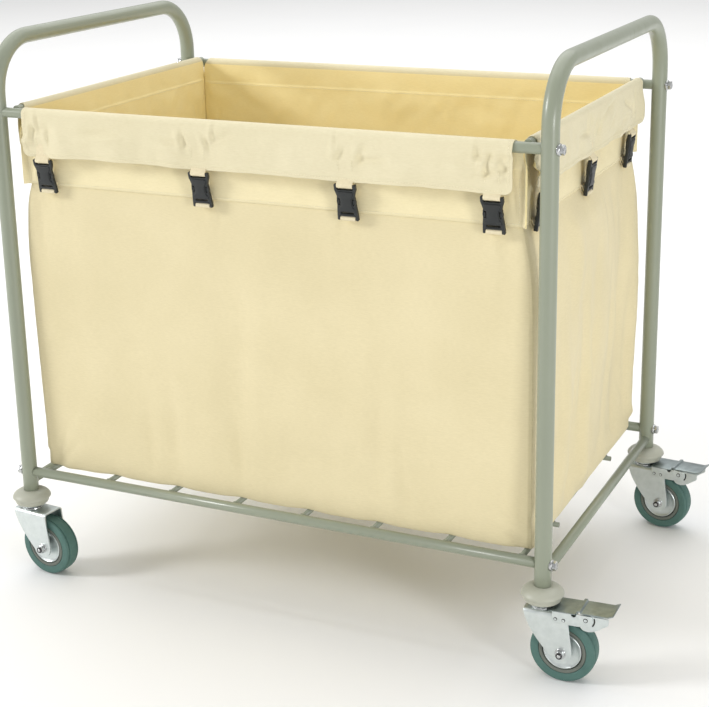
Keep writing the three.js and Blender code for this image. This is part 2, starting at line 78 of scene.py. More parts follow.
ORIGIN = (middle("end_frame_left") + middle("end_frame_right")) / 2
ORIGIN.z = 0
CART = Matrix.Translation(ORIGIN * MM)
POST_X = middle("end_frame_right").x - ORIGIN.x
POST_Y = middle("top_rail_rear").y - ORIGIN.y
POST_R = high("end_frame_right").y - ORIGIN.y - POST_Y
POST_FOOT_Z = low("end_frame_left").z
HANDLE_Z = high("end_frame_left").z - POST_R
RAIL_R = (high("top_rail_front").z - low("top_rail_front").z) / 2
TOP_Z = middle("top_rail_front").z
BASE_Z = high("base_grid").z - RAIL_R
SIDE_BAR_X = middle("side_bar_right").x - ORIGIN.x
SIDE_BAR_Z = middle("side_bar_right").z
SIDE_BAR_R = (high("side_bar_right").z - low("side_bar_right").z) / 2
BAG_BOTTOM_Z = low("bag_body").z
CUFF_DROP = TOP_Z - low("bag_cuff_front").z
LONG_CUFF_HALF = high("bag_cuff_front").x - ORIGIN.x
SIDE_CUFF_HALF = high("bag_cuff_right").y - ORIGIN.y

# ---- sizes of the finer shapes, in millimetres ----
HANDLE_BEND = 85
CROSS_TUBE_Z = BASE_Z - 18
SLAT_R = 4.5
SLAT_Z = BASE_Z + 2
SLAT_XS = [-420 + 120 * i for i in range(8)]
SUPPORT_R = 4
SUPPORT_YS = (-143, 143)
SUPPORT_REACH = 432
WELD_R = 1.5
WELD_SINK = 0.8
SIDE_BAR_GAP = 3

SEAM_Z = 676
CLOTH = 1.4
CLOTH_CLEAR = 1.8
HEM_WIDTH = 8
HEM_STEP = 0.6
TOP_SEAM_DROP = 34
CUFF_CORNER = 11
HEM_RISE = 3
FLAP = 9
FLAP_START = 3
FLAP_R = 6
WEBBING_HALF = 12.5
WEBBING_THICKNESS = 1.3
STITCH_PITCH = 4.2
STITCH_LENGTH = 3.3
STITCH_R = 0.42

AXLE_X = 35
WHEEL_R = 50
WALL_Y = 21.5
FORK_TOP_Z = 113
FORK_REAR_X = -23
FORK_FRONT_X = 45
FORK_SHEET = 2.5
LEG_END_R = 16
LEG_TURN_Z = 40.6
BRACKET_SHEET = 1.6

ENDS = {"left": -1, "right": 1}
DEPTHS = {"front": -1, "rear": 1}


# ---- small maths ----
def smooth(t):
    t = min(max(t, 0.0), 1.0)
    return t * t * (3 - 2 * t)


def hump(distance, width):
    return math.exp(-((distance / width) ** 2))


def spaced(start, stop, step):
    """Even steps from start to stop, no longer than step."""
    count = max(1, math.ceil(abs(stop - start) / step))
    return [start + (stop - start) * i / count for i in range(count + 1)]


def ripple(x, y, z, size, seed):
    """Smooth noise of about -1 to 1, whose features are size millimetres across."""
    return noise.noise(Vector((x / size + seed * 17.3, y / size - seed * 5.1, z / size + seed * 9.7)))


def creased(creases, a, b, fade_in):
    """How far creases move cloth at (a, b): valleys with a softer ridge beside them.

    A crease is (a0, b0, a1, b1, depth, width). It grows to its full depth over fade_in of its length.
    """
    total = 0.0
    for a0, b0, a1, b1, depth, width in creases:
        da, db = a1 - a0, b1 - b0
        size = math.hypot(da, db)
        along = ((a - a0) * da + (b - b0) * db) / size**2
        off = ((a - a0) * db - (b - b0) * da) / size
        if -0.1 < along < 1.05 and abs(off) < 5 * width:
            fade = smooth((along + 0.1) / fade_in) * smooth((1.05 - along) / 0.6)
            total += depth * fade * (0.8 * hump(off - 1.7 * width, 1.5 * width) - hump(off, width))
    return total


# ---- shapes: each is a list of points and a list of faces ----
def quads(rows, width, wrap_rows=False, wrap_width=True):
    """The faces between rows of points, where each row has width points."""
    faces = []
    for i in range(rows if wrap_rows else rows - 1):
        j = (i + 1) % rows
        for k in range(width if wrap_width else width - 1):
            m = (k + 1) % width
            faces.append((i * width + k, i * width + m, j * width + m, j * width + k))
    return faces


def swept(path, section, closed=False):
    """A section of (across, along) offsets carried along a path without twist."""
    count = len(path)
    points = []
    normal = None
    for i, point in enumerate(path):
        if closed:
            ahead, behind = path[(i + 1) % count], path[i - 1]
        else:
            ahead, behind = path[min(i + 1, count - 1)], path[max(i - 1, 0)]
        tangent = (ahead - behind).normalized()
        if normal is None:
            normal = Y if abs(tangent.dot(Y)) < 0.9 else X
        normal = (normal - tangent * normal.dot(tangent)).normalized()
        side = tangent.cross(normal)
        points += [point + normal * a + side * b for a, b in section]
    size = len(section)
    faces = quads(count, size, closed)
    if not closed:
        faces.append(tuple(range(size))[::-1])
        faces.append(tuple((count - 1) * size + k for k in range(size)))
    return points, faces


def circle(radius, sides):
    return [(radius * math.cos(2 * math.pi * i / sides), radius * math.sin(2 * math.pi * i / sides))
            for i in range(sides)]


def tube(path, radius, sides=28, closed=False):
    return swept(path, circle(radius, sides), closed)


def rod(start, end, radius, sides=28):
    return tube([Vector(start), Vector(end)], radius, sides)


def lathe(profile, sides=56, closed=False):
    """A profile of (radius, height) pairs turned about Z."""
    points = [Vector((x, y, height)) for radius, height in profile for x, y in circle(radius, sides)]
    return points, quads(len(profile), sides, closed)


def prism(sides, radius, z0, z1):
    """An upright prism on a regular polygon."""
    ring = circle(radius, sides)
    points = [Vector((a, b, z)) for z in (z0, z1) for a, b in ring]
    return points, [tuple(range(sides))[::-1], tuple(range(sides, 2 * sides)), *quads(2, sides)]


def linked(name, data):
    """A new object in the scene."""
    obj = bpy.data.objects.new(name, data)
    bpy.context.scene.collection.objects.link(obj)
    return obj


def plate(outlines, y0, y1, bevel):
    """A flat plate between two Y values. The first outline (x, z) is its edge and the rest are holes."""
    curve = bpy.data.curves.new("outline", "CURVE")
    curve.dimensions = "2D"
    curve.fill_mode = "BOTH"
    curve.extrude = (y1 - y0) / 2 - bevel
    curve.bevel_depth = bevel
    curve.bevel_resolution = 2
    curve.offset = -bevel
    for outline in outlines:
        spline = curve.splines.new("POLY")
        spline.points.add(len(outline) - 1)
        for point, (a, b) in zip(spline.points, outline):
            point.co = (a, b, 0, 1)
        spline.use_cyclic_u = True
    obj = linked("outline", curve)
    mesh = bpy.data.meshes.new_from_object(obj.evaluated_get(bpy.context.evaluated_depsgraph_get()))
    upright = Matrix.Translation((0, (y0 + y1) / 2, 0)) @ Matrix.Rotation(math.pi / 2, 4, "X")
    points = [upright @ v.co for v in mesh.vertices]
    faces = [tuple(p.vertices) for p in mesh.polygons]
    bpy.data.objects.remove(obj)
    bpy.data.curves.remove(curve)
    bpy.data.meshes.remove(mesh)
    return points, faces


def grid(rows, closed=False):
    """A surface through rows of points, all of the same count. closed joins each row's two ends."""
    points = [point for row in rows for point in row]
    return points, quads(len(rows), len(rows[0]), wrap_width=closed)


def moved(shape, matrix):
    return [matrix @ point for point in shape[0]], shape[1]


def turn(degrees, axis):
    return Matrix.Rotation(math.radians(degrees), 4, axis)


def at(x, y, z):
    return Matrix.Translation((x, y, z))


def arc(centre, radius, start, end, steps):
    """Points (x, z) of an arc between two angles in degrees."""
    angles = [math.radians(start + (end - start) * i / steps) for i in range(steps + 1)]
    return [(centre[0] + radius * math.cos(a), centre[1] + radius * math.sin(a)) for a in angles]


def shifted(outline, x, z):
    return [(x + a, z + b) for a, b in outline]


def mirrored(half):
    """A whole outline of (x, z) pairs from its half on one side of the middle."""
    return half + [(-x, z) for x, z in reversed(half)]


def rounded(corners, radius, steps=5):
    """A closed outline with its corners rounded off."""
    outline = []
    count = len(corners)
    for i, corner in enumerate(corners):
        corner = Vector(corner)
        before = Vector(corners[i - 1]) - corner
        after = Vector(corners[(i + 1) % count]) - corner
        reach = min(radius, before.length * 0.45, after.length * 0.45)
        start = corner + before.normalized() * reach
        end = corner + after.normalized() * reach
        for k in range(steps + 1):
            t = k / steps
            outline.append(tuple(start * (1 - t) ** 2 + corner * 2 * t * (1 - t) + end * t * t))
    return outline


def make_mesh(name, shapes, bevel=0.0, sharp=35, weld=True):
    """One mesh in metres from shapes in millimetres. Edges turned less than sharp degrees are smooth."""
    bm = bmesh.new()
    for points, faces in shapes:
        verts = [bm.verts.new(point) for point in points]
        for face in faces:
            bm.faces.new([verts[i] for i in face])
    if weld:
        bmesh.ops.remove_doubles(bm, verts=bm.verts, dist=0.002)
        bmesh.ops.recalc_face_normals(bm, faces=bm.faces)
    limit = math.radians(sharp)
    if bevel:
        edges = [e for e in bm.edges if len(e.link_faces) == 2 and e.calc_face_angle() > limit]
        bmesh.ops.bevel(bm, geom=edges, offset=bevel, segments=2, profile=0.5, affect="EDGES",
                        clamp_overlap=True)
    bm.transform(Matrix.Scale(MM, 4))
    for face in bm.faces:
        face.smooth = True
    for edge in bm.edges:
        edge.smooth = len(edge.link_faces) != 2 or edge.calc_face_angle() < limit
    mesh = bpy.data.meshes.new(name)
    bm.to_mesh(mesh)
    bm.free()
    return mesh


def put(name, mesh, place, body, material, replaced=()):
    """Places a mesh as one piece, on a body and the nodes that it stands for."""
    obj = linked(name, mesh)
    obj.matrix_world = place
    if not mesh.materials:
        for each in material if isinstance(material, list) else [material]:
            mesh.materials.append(each)
    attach(obj, body)
    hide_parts(*replaced)
    return obj


def thicken(obj, thickness, offset=-1.0, bevel=0.0, back=0):
    """Gives a surface thickness. back is how far down the list of materials the back's material is."""
    solidify = obj.modifiers.new("thickness", "SOLIDIFY")
    solidify.thickness = thickness * MM
    solidify.offset = offset
    solidify.material_offset = back
    if bevel:
        rounding = obj.modifiers.new("edge", "BEVEL")
        rounding.width = bevel * MM
        rounding.segments = 2
        rounding.limit_method = "ANGLE"
        rounding.angle_limit = math.radians(50)


# ---- materials ----
class Surface:
    """A material being built from nodes, with short ways to add the nodes that several of them use."""

    def __init__(self, name, roughness, metallic=0.0):
        self.material = bpy.data.materials.new(name)
        self.material.use_nodes = True
        self.nodes = self.material.node_tree.nodes
        self.links = self.material.node_tree.links
        self.shader = self.nodes["Principled BSDF"]
        self.shader.inputs["Roughness"].default_value = roughness
        self.shader.inputs["Metallic"].default_value = metallic
        self.place = self.nodes.new("ShaderNodeTexCoord").outputs["Object"]
        self.normal = None

    def node(self, kind, inputs, **settings):
        """A new node. Each input is a number, a vector, a colour or another node's output."""
        node = self.nodes.new(kind)
        for name, value in settings.items():
            setattr(node, name, value)
        for name, value in inputs.items():
            if isinstance(value, bpy.types.NodeSocket):
                self.links.new(value, node.inputs[name])
            else:
                node.inputs[name].default_value = value
        return node

    def noise(self, size, detail=3, stretch=(1, 1, 1)):
        """Noise of 0 to 1 whose features are size millimetres across."""
        place = self.node("ShaderNodeMapping", {"Vector": self.place, "Scale": stretch}).outputs["Vector"]
        inputs = {"Vector": place, "Scale": 1 / (size * MM), "Detail": detail}
        return self.node("ShaderNodeTexNoise", inputs).outputs["Fac"]

    def threads(self, period, direction, distortion=1.5):
        """Parallel ridges across one axis, a period in millimetres apart."""
        inputs = {"Vector": self.place, "Scale": math.pi / 10 / (period * MM), "Distortion": distortion,
                  "Detail": 2, "Detail Scale": 0.4}
        node = self.node("ShaderNodeTexWave", inputs, bands_direction=direction, wave_profile="SIN")
        return node.outputs["Fac"]

    def math(self, operation, a, b):
        return self.node("ShaderNodeMath", {0: a, 1: b}, operation=operation).outputs[0]

    def ramp(self, value, low_end, high_end, low_value, high_value):
        inputs = {"Value": value, "From Min": low_end, "From Max": high_end, "To Min": low_value,
                  "To Max": high_value}
        return self.node("ShaderNodeMapRange", inputs).outputs["Result"]

    def tint(self, value, dark, light):
        """Base colour between two colours, as value goes from 0 to 1."""
        inputs = {"Factor": value, "A": (*dark, 1), "B": (*light, 1)}
        mixed = self.node("ShaderNodeMix", inputs, data_type="RGBA").outputs["Result"]
        self.links.new(mixed, self.shader.inputs["Base Color"])

    def rough(self, value):
        self.links.new(value, self.shader.inputs["Roughness"])

    def bump(self, value, depth, strength=1.0):
        """Adds a height of 0 to 1 as a bump of that depth in millimetres."""
        inputs = {"Height": value, "Strength": strength, "Distance": depth * MM}
        if self.normal:
            inputs["Normal"] = self.normal
        self.normal = self.node("ShaderNodeBump", inputs).outputs["Normal"]
        self.links.new(self.normal, self.shader.inputs["Normal"])


def canvas_material(name, dark, light):
    s = Surface(name, roughness=0.9)
    slubs = s.noise(2.2, 2, stretch=(0.3, 0.3, 1.6))
    broad = s.noise(120, 3)
    s.tint(s.ramp(s.math("ADD", slubs, broad), 0.6, 1.4, 0, 1), dark, light)
    weave = s.math("ADD", s.threads(1.1, "X"), s.math("ADD", s.threads(1.1, "Y"), s.threads(1.1, "Z")))
    s.rough(s.ramp(weave, 0, 3, 0.82, 0.97))
    s.bump(weave, 0.06, 0.4)
    s.bump(s.noise(5, 3), 0.12, 0.35)
    s.shader.inputs["Sheen Weight"].default_value = 0.15
    s.shader.inputs["Sheen Roughness"].default_value = 0.5
    return s.material


def webbing_material():
    s = Surface("webbing", roughness=0.8)
    s.tint(s.noise(4, 3), (0.66, 0.57, 0.38), (0.8, 0.72, 0.5))
    s.bump(s.threads(1.6, "Z", 0.5), 0.25, 0.7)
    s.rough(s.ramp(s.noise(2), 0.3, 0.7, 0.7, 0.9))
    return s.material


def thread_material():
    s = Surface("thread", roughness=0.6)
    s.tint(s.noise(5), (0.80, 0.73, 0.52), (0.9, 0.84, 0.64))
    s.bump(s.threads(0.5, "DIAGONAL", 0.2), 0.08, 0.6)
    return s.material


def paint_material():
    s = Surface("paint", roughness=0.36)
    s.tint(s.noise(160, 4), (0.25, 0.276, 0.205), (0.28, 0.305, 0.228))
    scuffs = s.ramp(s.noise(9, 6, stretch=(1, 1, 0.2)), 0.62, 0.72, 0, 1)
    s.rough(s.math("ADD", s.ramp(s.noise(40, 3), 0.3, 0.7, 0.3, 0.42), s.math("MULTIPLY", scuffs, 0.15)))
    s.bump(s.noise(1.8, 2), 0.05, 0.35)
    s.shader.inputs["Coat Weight"].default_value = 0.25
    s.shader.inputs["Coat Roughness"].default_value = 0.18
    return s.material


def zinc_material(name, dark, light, roughness):
    s = Surface(name, roughness=roughness, metallic=1.0)
    spangle = s.noise(11, 4)
    s.tint(s.ramp(spangle, 0.3, 0.7, 0, 1), dark, light)
    streaks = s.noise(1.2, 3, stretch=(1, 1, 0.15))
    s.rough(s.math("ADD", s.ramp(spangle, 0.3, 0.7, roughness - 0.07, roughness + 0.08),
                   s.math("MULTIPLY", streaks, 0.08)))
    s.bump(s.noise(3, 2), 0.02, 0.25)
    return s.material


def plastic_material(name, dark, light, roughness, grain):
    s = Surface(name, roughness=roughness)
    s.tint(s.noise(25, 4), dark, light)
    s.rough(s.ramp(s.noise(6, 4), 0.3, 0.7, roughness - 0.06, roughness + 0.08))
    s.bump(s.noise(grain, 3), 0.06, 0.4)
    return s.material


def rubber_material(name, dark, light):
    s = Surface(name, roughness=0.62)
    s.tint(s.noise(18, 5), dark, light)
    s.rough(s.ramp(s.noise(5, 4), 0.3, 0.7, 0.52, 0.74))
    s.bump(s.noise(1.1, 3), 0.07, 0.4)
    s.bump(s.noise(10, 3), 0.25, 0.25)
    return s.material


def floor_material():
    s = Surface("floor", roughness=0.7)
    s.tint(s.noise(400, 2), (0.87, 0.87, 0.865), (0.89, 0.89, 0.885))
    s.bump(s.noise(3, 2), 0.05, 0.2)
    return s.material


CANVAS = canvas_material("canvas", (0.665, 0.58, 0.35), (0.745, 0.655, 0.415))
CUFF_CANVAS = canvas_material("cuff_canvas", (0.665, 0.60, 0.395), (0.735, 0.67, 0.465))
# A brighter copy of the canvas for the band's outer face: painted light that lifts the shadow the cuff casts
# on it.
BAND_CANVAS_PAINTED_LIGHT = canvas_material("band_canvas_painted_light", (0.76, 0.67, 0.405), (0.84, 0.745, 0.475))
# The inside of the same canvas, brighter and deeper yellow: painted light bounced between the bag's walls.
INSIDE_CANVAS_PAINTED_BOUNCE = canvas_material("inside_canvas_painted_bounce", (0.85, 0.72, 0.365), (0.92, 0.795, 0.435))
WEBBING = webbing_material()
THREAD = thread_material()
PAINT = paint_material()
ZINC = zinc_material("zinc", (0.60, 0.65, 0.64), (0.70, 0.745, 0.735), 0.36)
BRIGHT_ZINC = zinc_material("bright_zinc", (0.42, 0.43, 0.43), (0.62, 0.63, 0.63), 0.2)
# A darker copy of the zinc for the upward faces of the tread and the bracket's top: painted dark reflection.
ZINC_PAINTED_DARK_REFLECTION = zinc_material("zinc_painted_dark_reflection", (0.25, 0.295, 0.295), (0.36, 0.41, 0.41), 0.33)
# Near-black metal for the axle's threaded end, and painted shade in the rings round the rivet heads and on
# the slot floors.
DARK_STEEL_AND_PAINTED_SHADE = zinc_material("dark_steel_and_painted_shade", (0.03, 0.03, 0.03), (0.08, 0.08, 0.08), 0.4)
BLACK_PLASTIC = plastic_material("black_plastic", (0.008, 0.010, 0.010), (0.018, 0.021, 0.021), 0.42, 1.2)
BUMPER_PLASTIC = plastic_material("bumper_plastic", (0.38, 0.385, 0.31), (0.43, 0.435, 0.36), 0.42, 1.5)
TYRE = rubber_material("tyre", (0.056, 0.128, 0.108), (0.08, 0.166, 0.144))
CORE = rubber_material("wheel_core", (0.115, 0.13, 0.11), (0.15, 0.165, 0.14))


# ---- the frame ----
def handle_path():
    """The centre line of an end frame, in the plane where X is 0."""
    inner = POST_Y - HANDLE_BEND
    top = HANDLE_Z - HANDLE_BEND
    path = [Vector((0, -POST_Y, z)) for z in spaced(POST_FOOT_Z, top, 60)]
    path += [Vector((0, y, z)) for y, z in arc((-inner, top), HANDLE_BEND, 180, 90, 16)[1:]]
    path += [Vector((p.x, -p.y, p.z)) for p in reversed(path)]
    return path


def weld_bead(centre, along, across, small, large):
    """The bead where a tube of radius small, running along, meets one of radius large, running across."""
    side = along.cross(across)
    path = []
    for i in range(28):
        angle = 2 * math.pi * i / 28
        off = small * math.cos(angle)
        uneven = 0.25 * ripple(angle * 30, centre.x, centre.y, 9, 3)
        reach = math.sqrt(max(large * large - off * off, 0)) + uneven
        path.append(centre + side * off + across * small * math.sin(angle) + along * reach)
    return tube(path, WELD_R, 8, closed=True)


def add_painted(name, shapes, node, place=CART, weld=True):
    put(name, make_mesh(node, shapes, weld=weld), place, "frame", PAINT, [node])


def add_end_frames():
    shapes = [tube(handle_path(), POST_R, 36)]
    shapes.append(rod((0, -POST_Y, CROSS_TUBE_Z), (0, POST_Y, CROSS_TUBE_Z), RAIL_R))
    for side in (-1, 1):
        foot = Vector((0, side * POST_Y, CROSS_TUBE_Z))
        shapes.append(weld_bead(foot, -side * Y, Z, RAIL_R, POST_R))
    for end, sign in ENDS.items():
        place = CART @ Matrix.Translation(X * sign * POST_X * MM)
        add_painted(f"end_tube_{end}", shapes, f"end_frame_{end}", place, weld=False)


def add_rails():
    for depth, sign in DEPTHS.items():
        y = sign * POST_Y
        rail = rod((-POST_X, y, TOP_Z), (POST_X, y, TOP_Z), RAIL_R)
        add_painted(f"rail_{depth}", [rail], f"top_rail_{depth}")
    reach = POST_Y - SIDE_BAR_GAP
    for end, sign in ENDS.items():
        x = sign * SIDE_BAR_X
        bar = rod((x, -reach, SIDE_BAR_Z), (x, reach, SIDE_BAR_Z), SIDE_BAR_R)
        add_painted(f"bag_bar_{end}", [bar], f"side_bar_{end}")


def spot_weld(x, y, z):
    """A small ring of weld where a slat rests on a support rod."""
    ring = [Vector((x + dx, y + dy, z)) for dx, dy in ((-4, -3), (4, -3), (4, 3), (-4, 3))]
    return tube(ring, WELD_R, 6, closed=True)


def add_base():
    shapes = []
    for side in (-1, 1):
        y = side * POST_Y
        shapes.append(rod((-POST_X, y, BASE_Z), (POST_X, y, BASE_Z), RAIL_R))
        shapes += [weld_bead(Vector((x, y, SLAT_Z)), -side * Y, X, SLAT_R, RAIL_R) for x in SLAT_XS]
    shapes += [rod((x, -POST_Y, SLAT_Z), (x, POST_Y, SLAT_Z), SLAT_R, 20) for x in SLAT_XS]
    support_z = SLAT_Z - SLAT_R - SUPPORT_R + WELD_SINK
    for y in SUPPORT_YS:
        shapes.append(rod((-SUPPORT_REACH, y, support_z), (SUPPORT_REACH, y, support_z), SUPPORT_R, 16))
        shapes += [spot_weld(x, y, support_z + 3) for x in SLAT_XS]
    add_painted("base", shapes, "base_grid", weld=False)


def bolt_mesh():
    """A hex bolt with its washer, its head towards +X, about the axis of its post."""
    face = POST_R + 0.4
    washer = lathe([(0, face - 2.4), (8.6, face - 2.4), (8.9, face - 1.2), (8.4, face + 1.6),
                    (7, face + 2.3), (0, face + 2.3)], 40)
    head = prism(6, 7.5, face + 2.3, face + 7.4)
    dish = lathe([(5.6, face + 7.35), (5.2, face + 7.8), (4.2, face + 7.85), (3.2, face + 7.2),
                  (0, face + 7.1)], 32)
    to_x = turn(90, "Y")
    return make_mesh("bolt", [moved(s, to_x) for s in (washer, head, dish)], bevel=0.5)


def add_bolts():
    mesh = bolt_mesh()
    for end, sign in ENDS.items():
        for depth, side in DEPTHS.items():
            for level, z in (("bottom", BASE_Z), ("top", TOP_Z)):
                where = CART @ Matrix.Translation(Vector((sign * POST_X, side * POST_Y, z)) * MM)
                place = where @ turn(0 if sign > 0 else 180, "Z") @ turn(17 * side + z, "X")
                name = f"bolt_{end}_{depth}_{level}"
                put(name, mesh, place, "frame", BRIGHT_ZINC, [f"frame_{name}"])


# ---- the bag ----
class Panel:
    """One side's band and cuff: cloth that runs up inside its bar, over it and down outside.

    Its own axes are out from the bag, along the bar and up. A place on the cloth is a, along the bar from
    its middle, and s, along the cloth from the seam. Both are in millimetres.
    """

    def __init__(self, name, degrees, bar_out, bar_z, bar_r, half, band_half, seed):
        self.name = name
        self.turn = turn(degrees, "Z")
        self.bar_out = bar_out
        self.bar_z = bar_z
        self.radius = bar_r + CLOTH_CLEAR
        self.rise = bar_z - SEAM_Z
        self.wrap = math.pi * self.radius
        self.edge = self.rise + self.wrap
        self.length = self.edge + CUFF_DROP
        self.half = half
        self.band_half = band_half
        self.seed = seed
        buckles = [n for n in frame["nodes"] if n.startswith(f"buckle_{name}_")]
        inverse = self.turn.inverted()
        self.buckles = sorted(buckles)
        self.straps = [(inverse @ (middle(n) - ORIGIN)).y for n in self.buckles]
        self.creases = self.make_creases()

    def make_creases(self):
        """Creases that fan out from the straps up to the bar, loose ones, and some in the band's corners."""
        rng = random.Random(self.seed)
        draw = rng.uniform
        creases = []
        foot = self.length - 24
        for strap in self.straps:
            for side in (-1, 1):
                start = strap + side * (WEBBING_HALF + draw(0, 12))
                lean = side * draw(-30, 18)
                creases.append((start, foot + draw(-4, 8), start + lean, self.edge + draw(0, 16),
                                draw(2.4, 4.6), draw(3.0, 5.0)))
            lean = rng.choice((-1, 1)) * draw(50, 105)
            creases.append((strap + lean * 0.15, foot - 10, strap + lean, self.edge + draw(8, 40),
                            draw(2.4, 4.2), draw(3.5, 5.5)))
            tuck = strap + draw(-26, 26)
            creases.append((tuck, self.edge + 30, tuck + draw(-7, 7), self.edge - 14,
                            draw(1.2, 2.4), draw(2.2, 3.4)))
        for _ in range(int(self.half / 60)):
            start = draw(-self.half, self.half)
            reach = rng.choice((-1, 1)) * draw(50, 110)
            s = draw(self.edge + 12, self.length - 16)
            creases.append((start, s, start + reach, s + draw(-30, 30),
                            draw(1.8, 3.6), draw(4, 7)))
        for side in (-1, 1):
            for _ in range(3):
                start = side * (self.band_half - draw(4, 26))
                creases.append((start, 2, start - side * draw(-4, 26), draw(35, 95),
                                draw(-2.4, 2.4), draw(3, 6)))
        return creases

    def profile(self, s):
        """Out from the bar, height, and the direction away from the bar as (out, up)."""
        if s < self.rise:
            return -self.radius, SEAM_Z + s, -1.0, 0.0
        if s < self.edge:
            angle = math.pi - (s - self.rise) / self.radius
            c, d = math.cos(angle), math.sin(angle)
            return self.radius * c, self.bar_z + self.radius * d, c, d
        return self.radius, self.bar_z - (s - self.edge), 1.0, 0.0

    def half_at(self, s):
        """Half the cloth's width at s: wider in the band, and rounded at the cuff's lower corners."""
        below = self.length - s
        if below < CUFF_CORNER:
            in_corner = CUFF_CORNER - below
            return self.half - CUFF_CORNER + math.sqrt(max(CUFF_CORNER**2 - in_corner**2, 0))
        blend = smooth((s - self.rise + 10) / (10 + self.wrap / 2))
        flap = FLAP * self.corner_grip(s)
        return self.band_half + flap + (self.half - self.band_half) * blend

    def corner_grip(self, s):
        """How firmly the band's ends are folded out at the bag's corners: 1 low down, 0 near the bar."""
        return smooth((self.rise - 13 - s) / 26)

    def turned_out(self, a, s):
        """Where a goes once the band's ends are folded out: its new value, and how far out it moves."""
        start = self.band_half - FLAP_START
        extra = abs(a) - start
        limit = math.radians(45) * self.corner_grip(s)
        if extra <= 0 or limit <= 0:
            return a, 0.0
        angle = min(extra / FLAP_R, limit)
        straight = extra - FLAP_R * angle
        along = FLAP_R * math.sin(angle) + straight * math.cos(angle)
        out = FLAP_R * (1 - math.cos(angle)) + straight * math.sin(angle)
        return math.copysign(start + along, a), out

    def near_strap(self, a, width):
        return max(hump(a - strap, width) for strap in self.straps)

    def lift(self, a, s):
        """How far the cloth stands away from its even fold."""
        fall = s - self.edge
        total = 1.2 * creased(self.creases, a, s, 0.5)
        if fall > 0:
            loose = smooth(fall / 45)
            pulled = self.near_strap(a, 38)
            total += loose * (3.2 * (1 - pulled) + 5.0 * ripple(a, s * 0.6, 0, 58, self.seed))
            total += smooth(fall / 12) * 2.0 * ripple(a, s * 0.7, 0, 24, self.seed + 1)
            total -= 1.5 * loose * pulled
        elif s < self.rise:
            slack = math.sin(math.pi * min(s / self.rise, 1))
            total -= slack * 4.0 * ripple(a, s, 0, 70, self.seed + 2)
            total -= slack * 1.8 * ripple(a, s, 0, 26, self.seed)
        grip = smooth(fall / 14) if fall > 0 else smooth((self.rise - s) / 14)
        total = max(total, -0.25 - 20 * grip)
        if s < self.rise:
            total *= smooth((self.band_half - FLAP_START - abs(a)) / 12)
        return total + self.sewn(a, s)

    def sewn(self, a, s):
        """Steps of the folded hems, and of the strap ends under the cuff."""
        def hem(from_edge):
            return HEM_STEP * (1 - smooth((from_edge - HEM_WIDTH + 0.6) / 1.2))

        side_room = self.half_at(s) - abs(a)
        below = self.length - s
        if s > self.edge * 0.96 or side_room > HEM_WIDTH + 2:
            step = max(hem(below), hem(side_room))
        else:
            step = -hem(side_room)
        if s < self.edge:
            doubled = 1 - smooth((s - self.rise + TOP_SEAM_DROP) / 1.5)
            step = max(step, 0.9 * doubled)
        for strap in self.straps:
            across = abs(a - strap)
            if across < 20 and below < 40:
                patch = smooth((WEBBING_HALF + 1 - across) / 2) * smooth((34 - below) / 3)
                step = max(step, HEM_STEP * 0.5 * patch)
        return step

    def drop_scale(self, a):
        """The cuff hangs a little higher between the straps than at them."""
        return 1 - HEM_RISE / CUFF_DROP * (1 - self.near_strap(a, 55))

    def point(self, a, s, off=0.0):
        """A point of the cloth in the cart's axes; off is further away from the bar."""
        out, z, n_out, n_up = self.profile(s)
        lift = self.lift(a, s) + off
        if s > self.edge:
            z = self.bar_z - (s - self.edge) * self.drop_scale(a)
        a, turned = self.turned_out(a, s)
        return self.turn @ Vector((self.bar_out + out + turned + n_out * lift, a, z + n_up * lift))

    def stations(self):
        """The s values of the rows of the mesh, close together at the folds and the hem's step."""
        top_seam = self.rise - TOP_SEAM_DROP
        rows = spaced(0, top_seam - 1, 5) + [top_seam, top_seam + 0.75, top_seam + 1.5]
        rows += spaced(top_seam + 4, self.rise, 3)
        rows += spaced(self.rise, self.edge, 2)[1:]
        hem = self.length - HEM_WIDTH
        rows += spaced(self.edge, hem - 1, 2.6)[1:]
        rows += [hem - 0.4, hem + 0.4]
        rows += spaced(hem + 1, self.length - 0.4, 1.6) + [self.length]
        return rows

    def across(self):
        """Fractions of the half width for the columns, close together at the hem's step."""
        hem = 1 - HEM_WIDTH / self.half
        step = 0.6 / self.half
        inner = spaced(-hem + 2 * step, hem - 2 * step, 2.8 / self.half)
        outer = [hem - step, hem + step, *spaced(hem + 3 * step, 1 - step, 2.4 / self.half), 1.0]
        return [-f for f in reversed(outer)] + inner + outer

    def rows(self):
        """Rows of points from the seam up. They run so that the faces look away from the bar."""
        columns = self.across()[::-1]
        return [[self.point(f * self.half_at(s), s) for f in columns] for s in self.stations()]


def make_panels():
    side_band = POST_Y - RAIL_R - CLOTH_CLEAR - 0.5
    long_band = SIDE_BAR_X - SIDE_BAR_R - CLOTH_CLEAR - 0.5
    long = (POST_Y, TOP_Z, RAIL_R, LONG_CUFF_HALF, long_band)
    short = (SIDE_BAR_X, SIDE_BAR_Z, SIDE_BAR_R, SIDE_CUFF_HALF, side_band)
    return {
        "front": Panel("front", -90, *long, seed=11),
        "right": Panel("right", 0, *short, seed=23),
        "rear": Panel("rear", 90, *long, seed=37),
        "left": Panel("left", 180, *short, seed=41),
    }


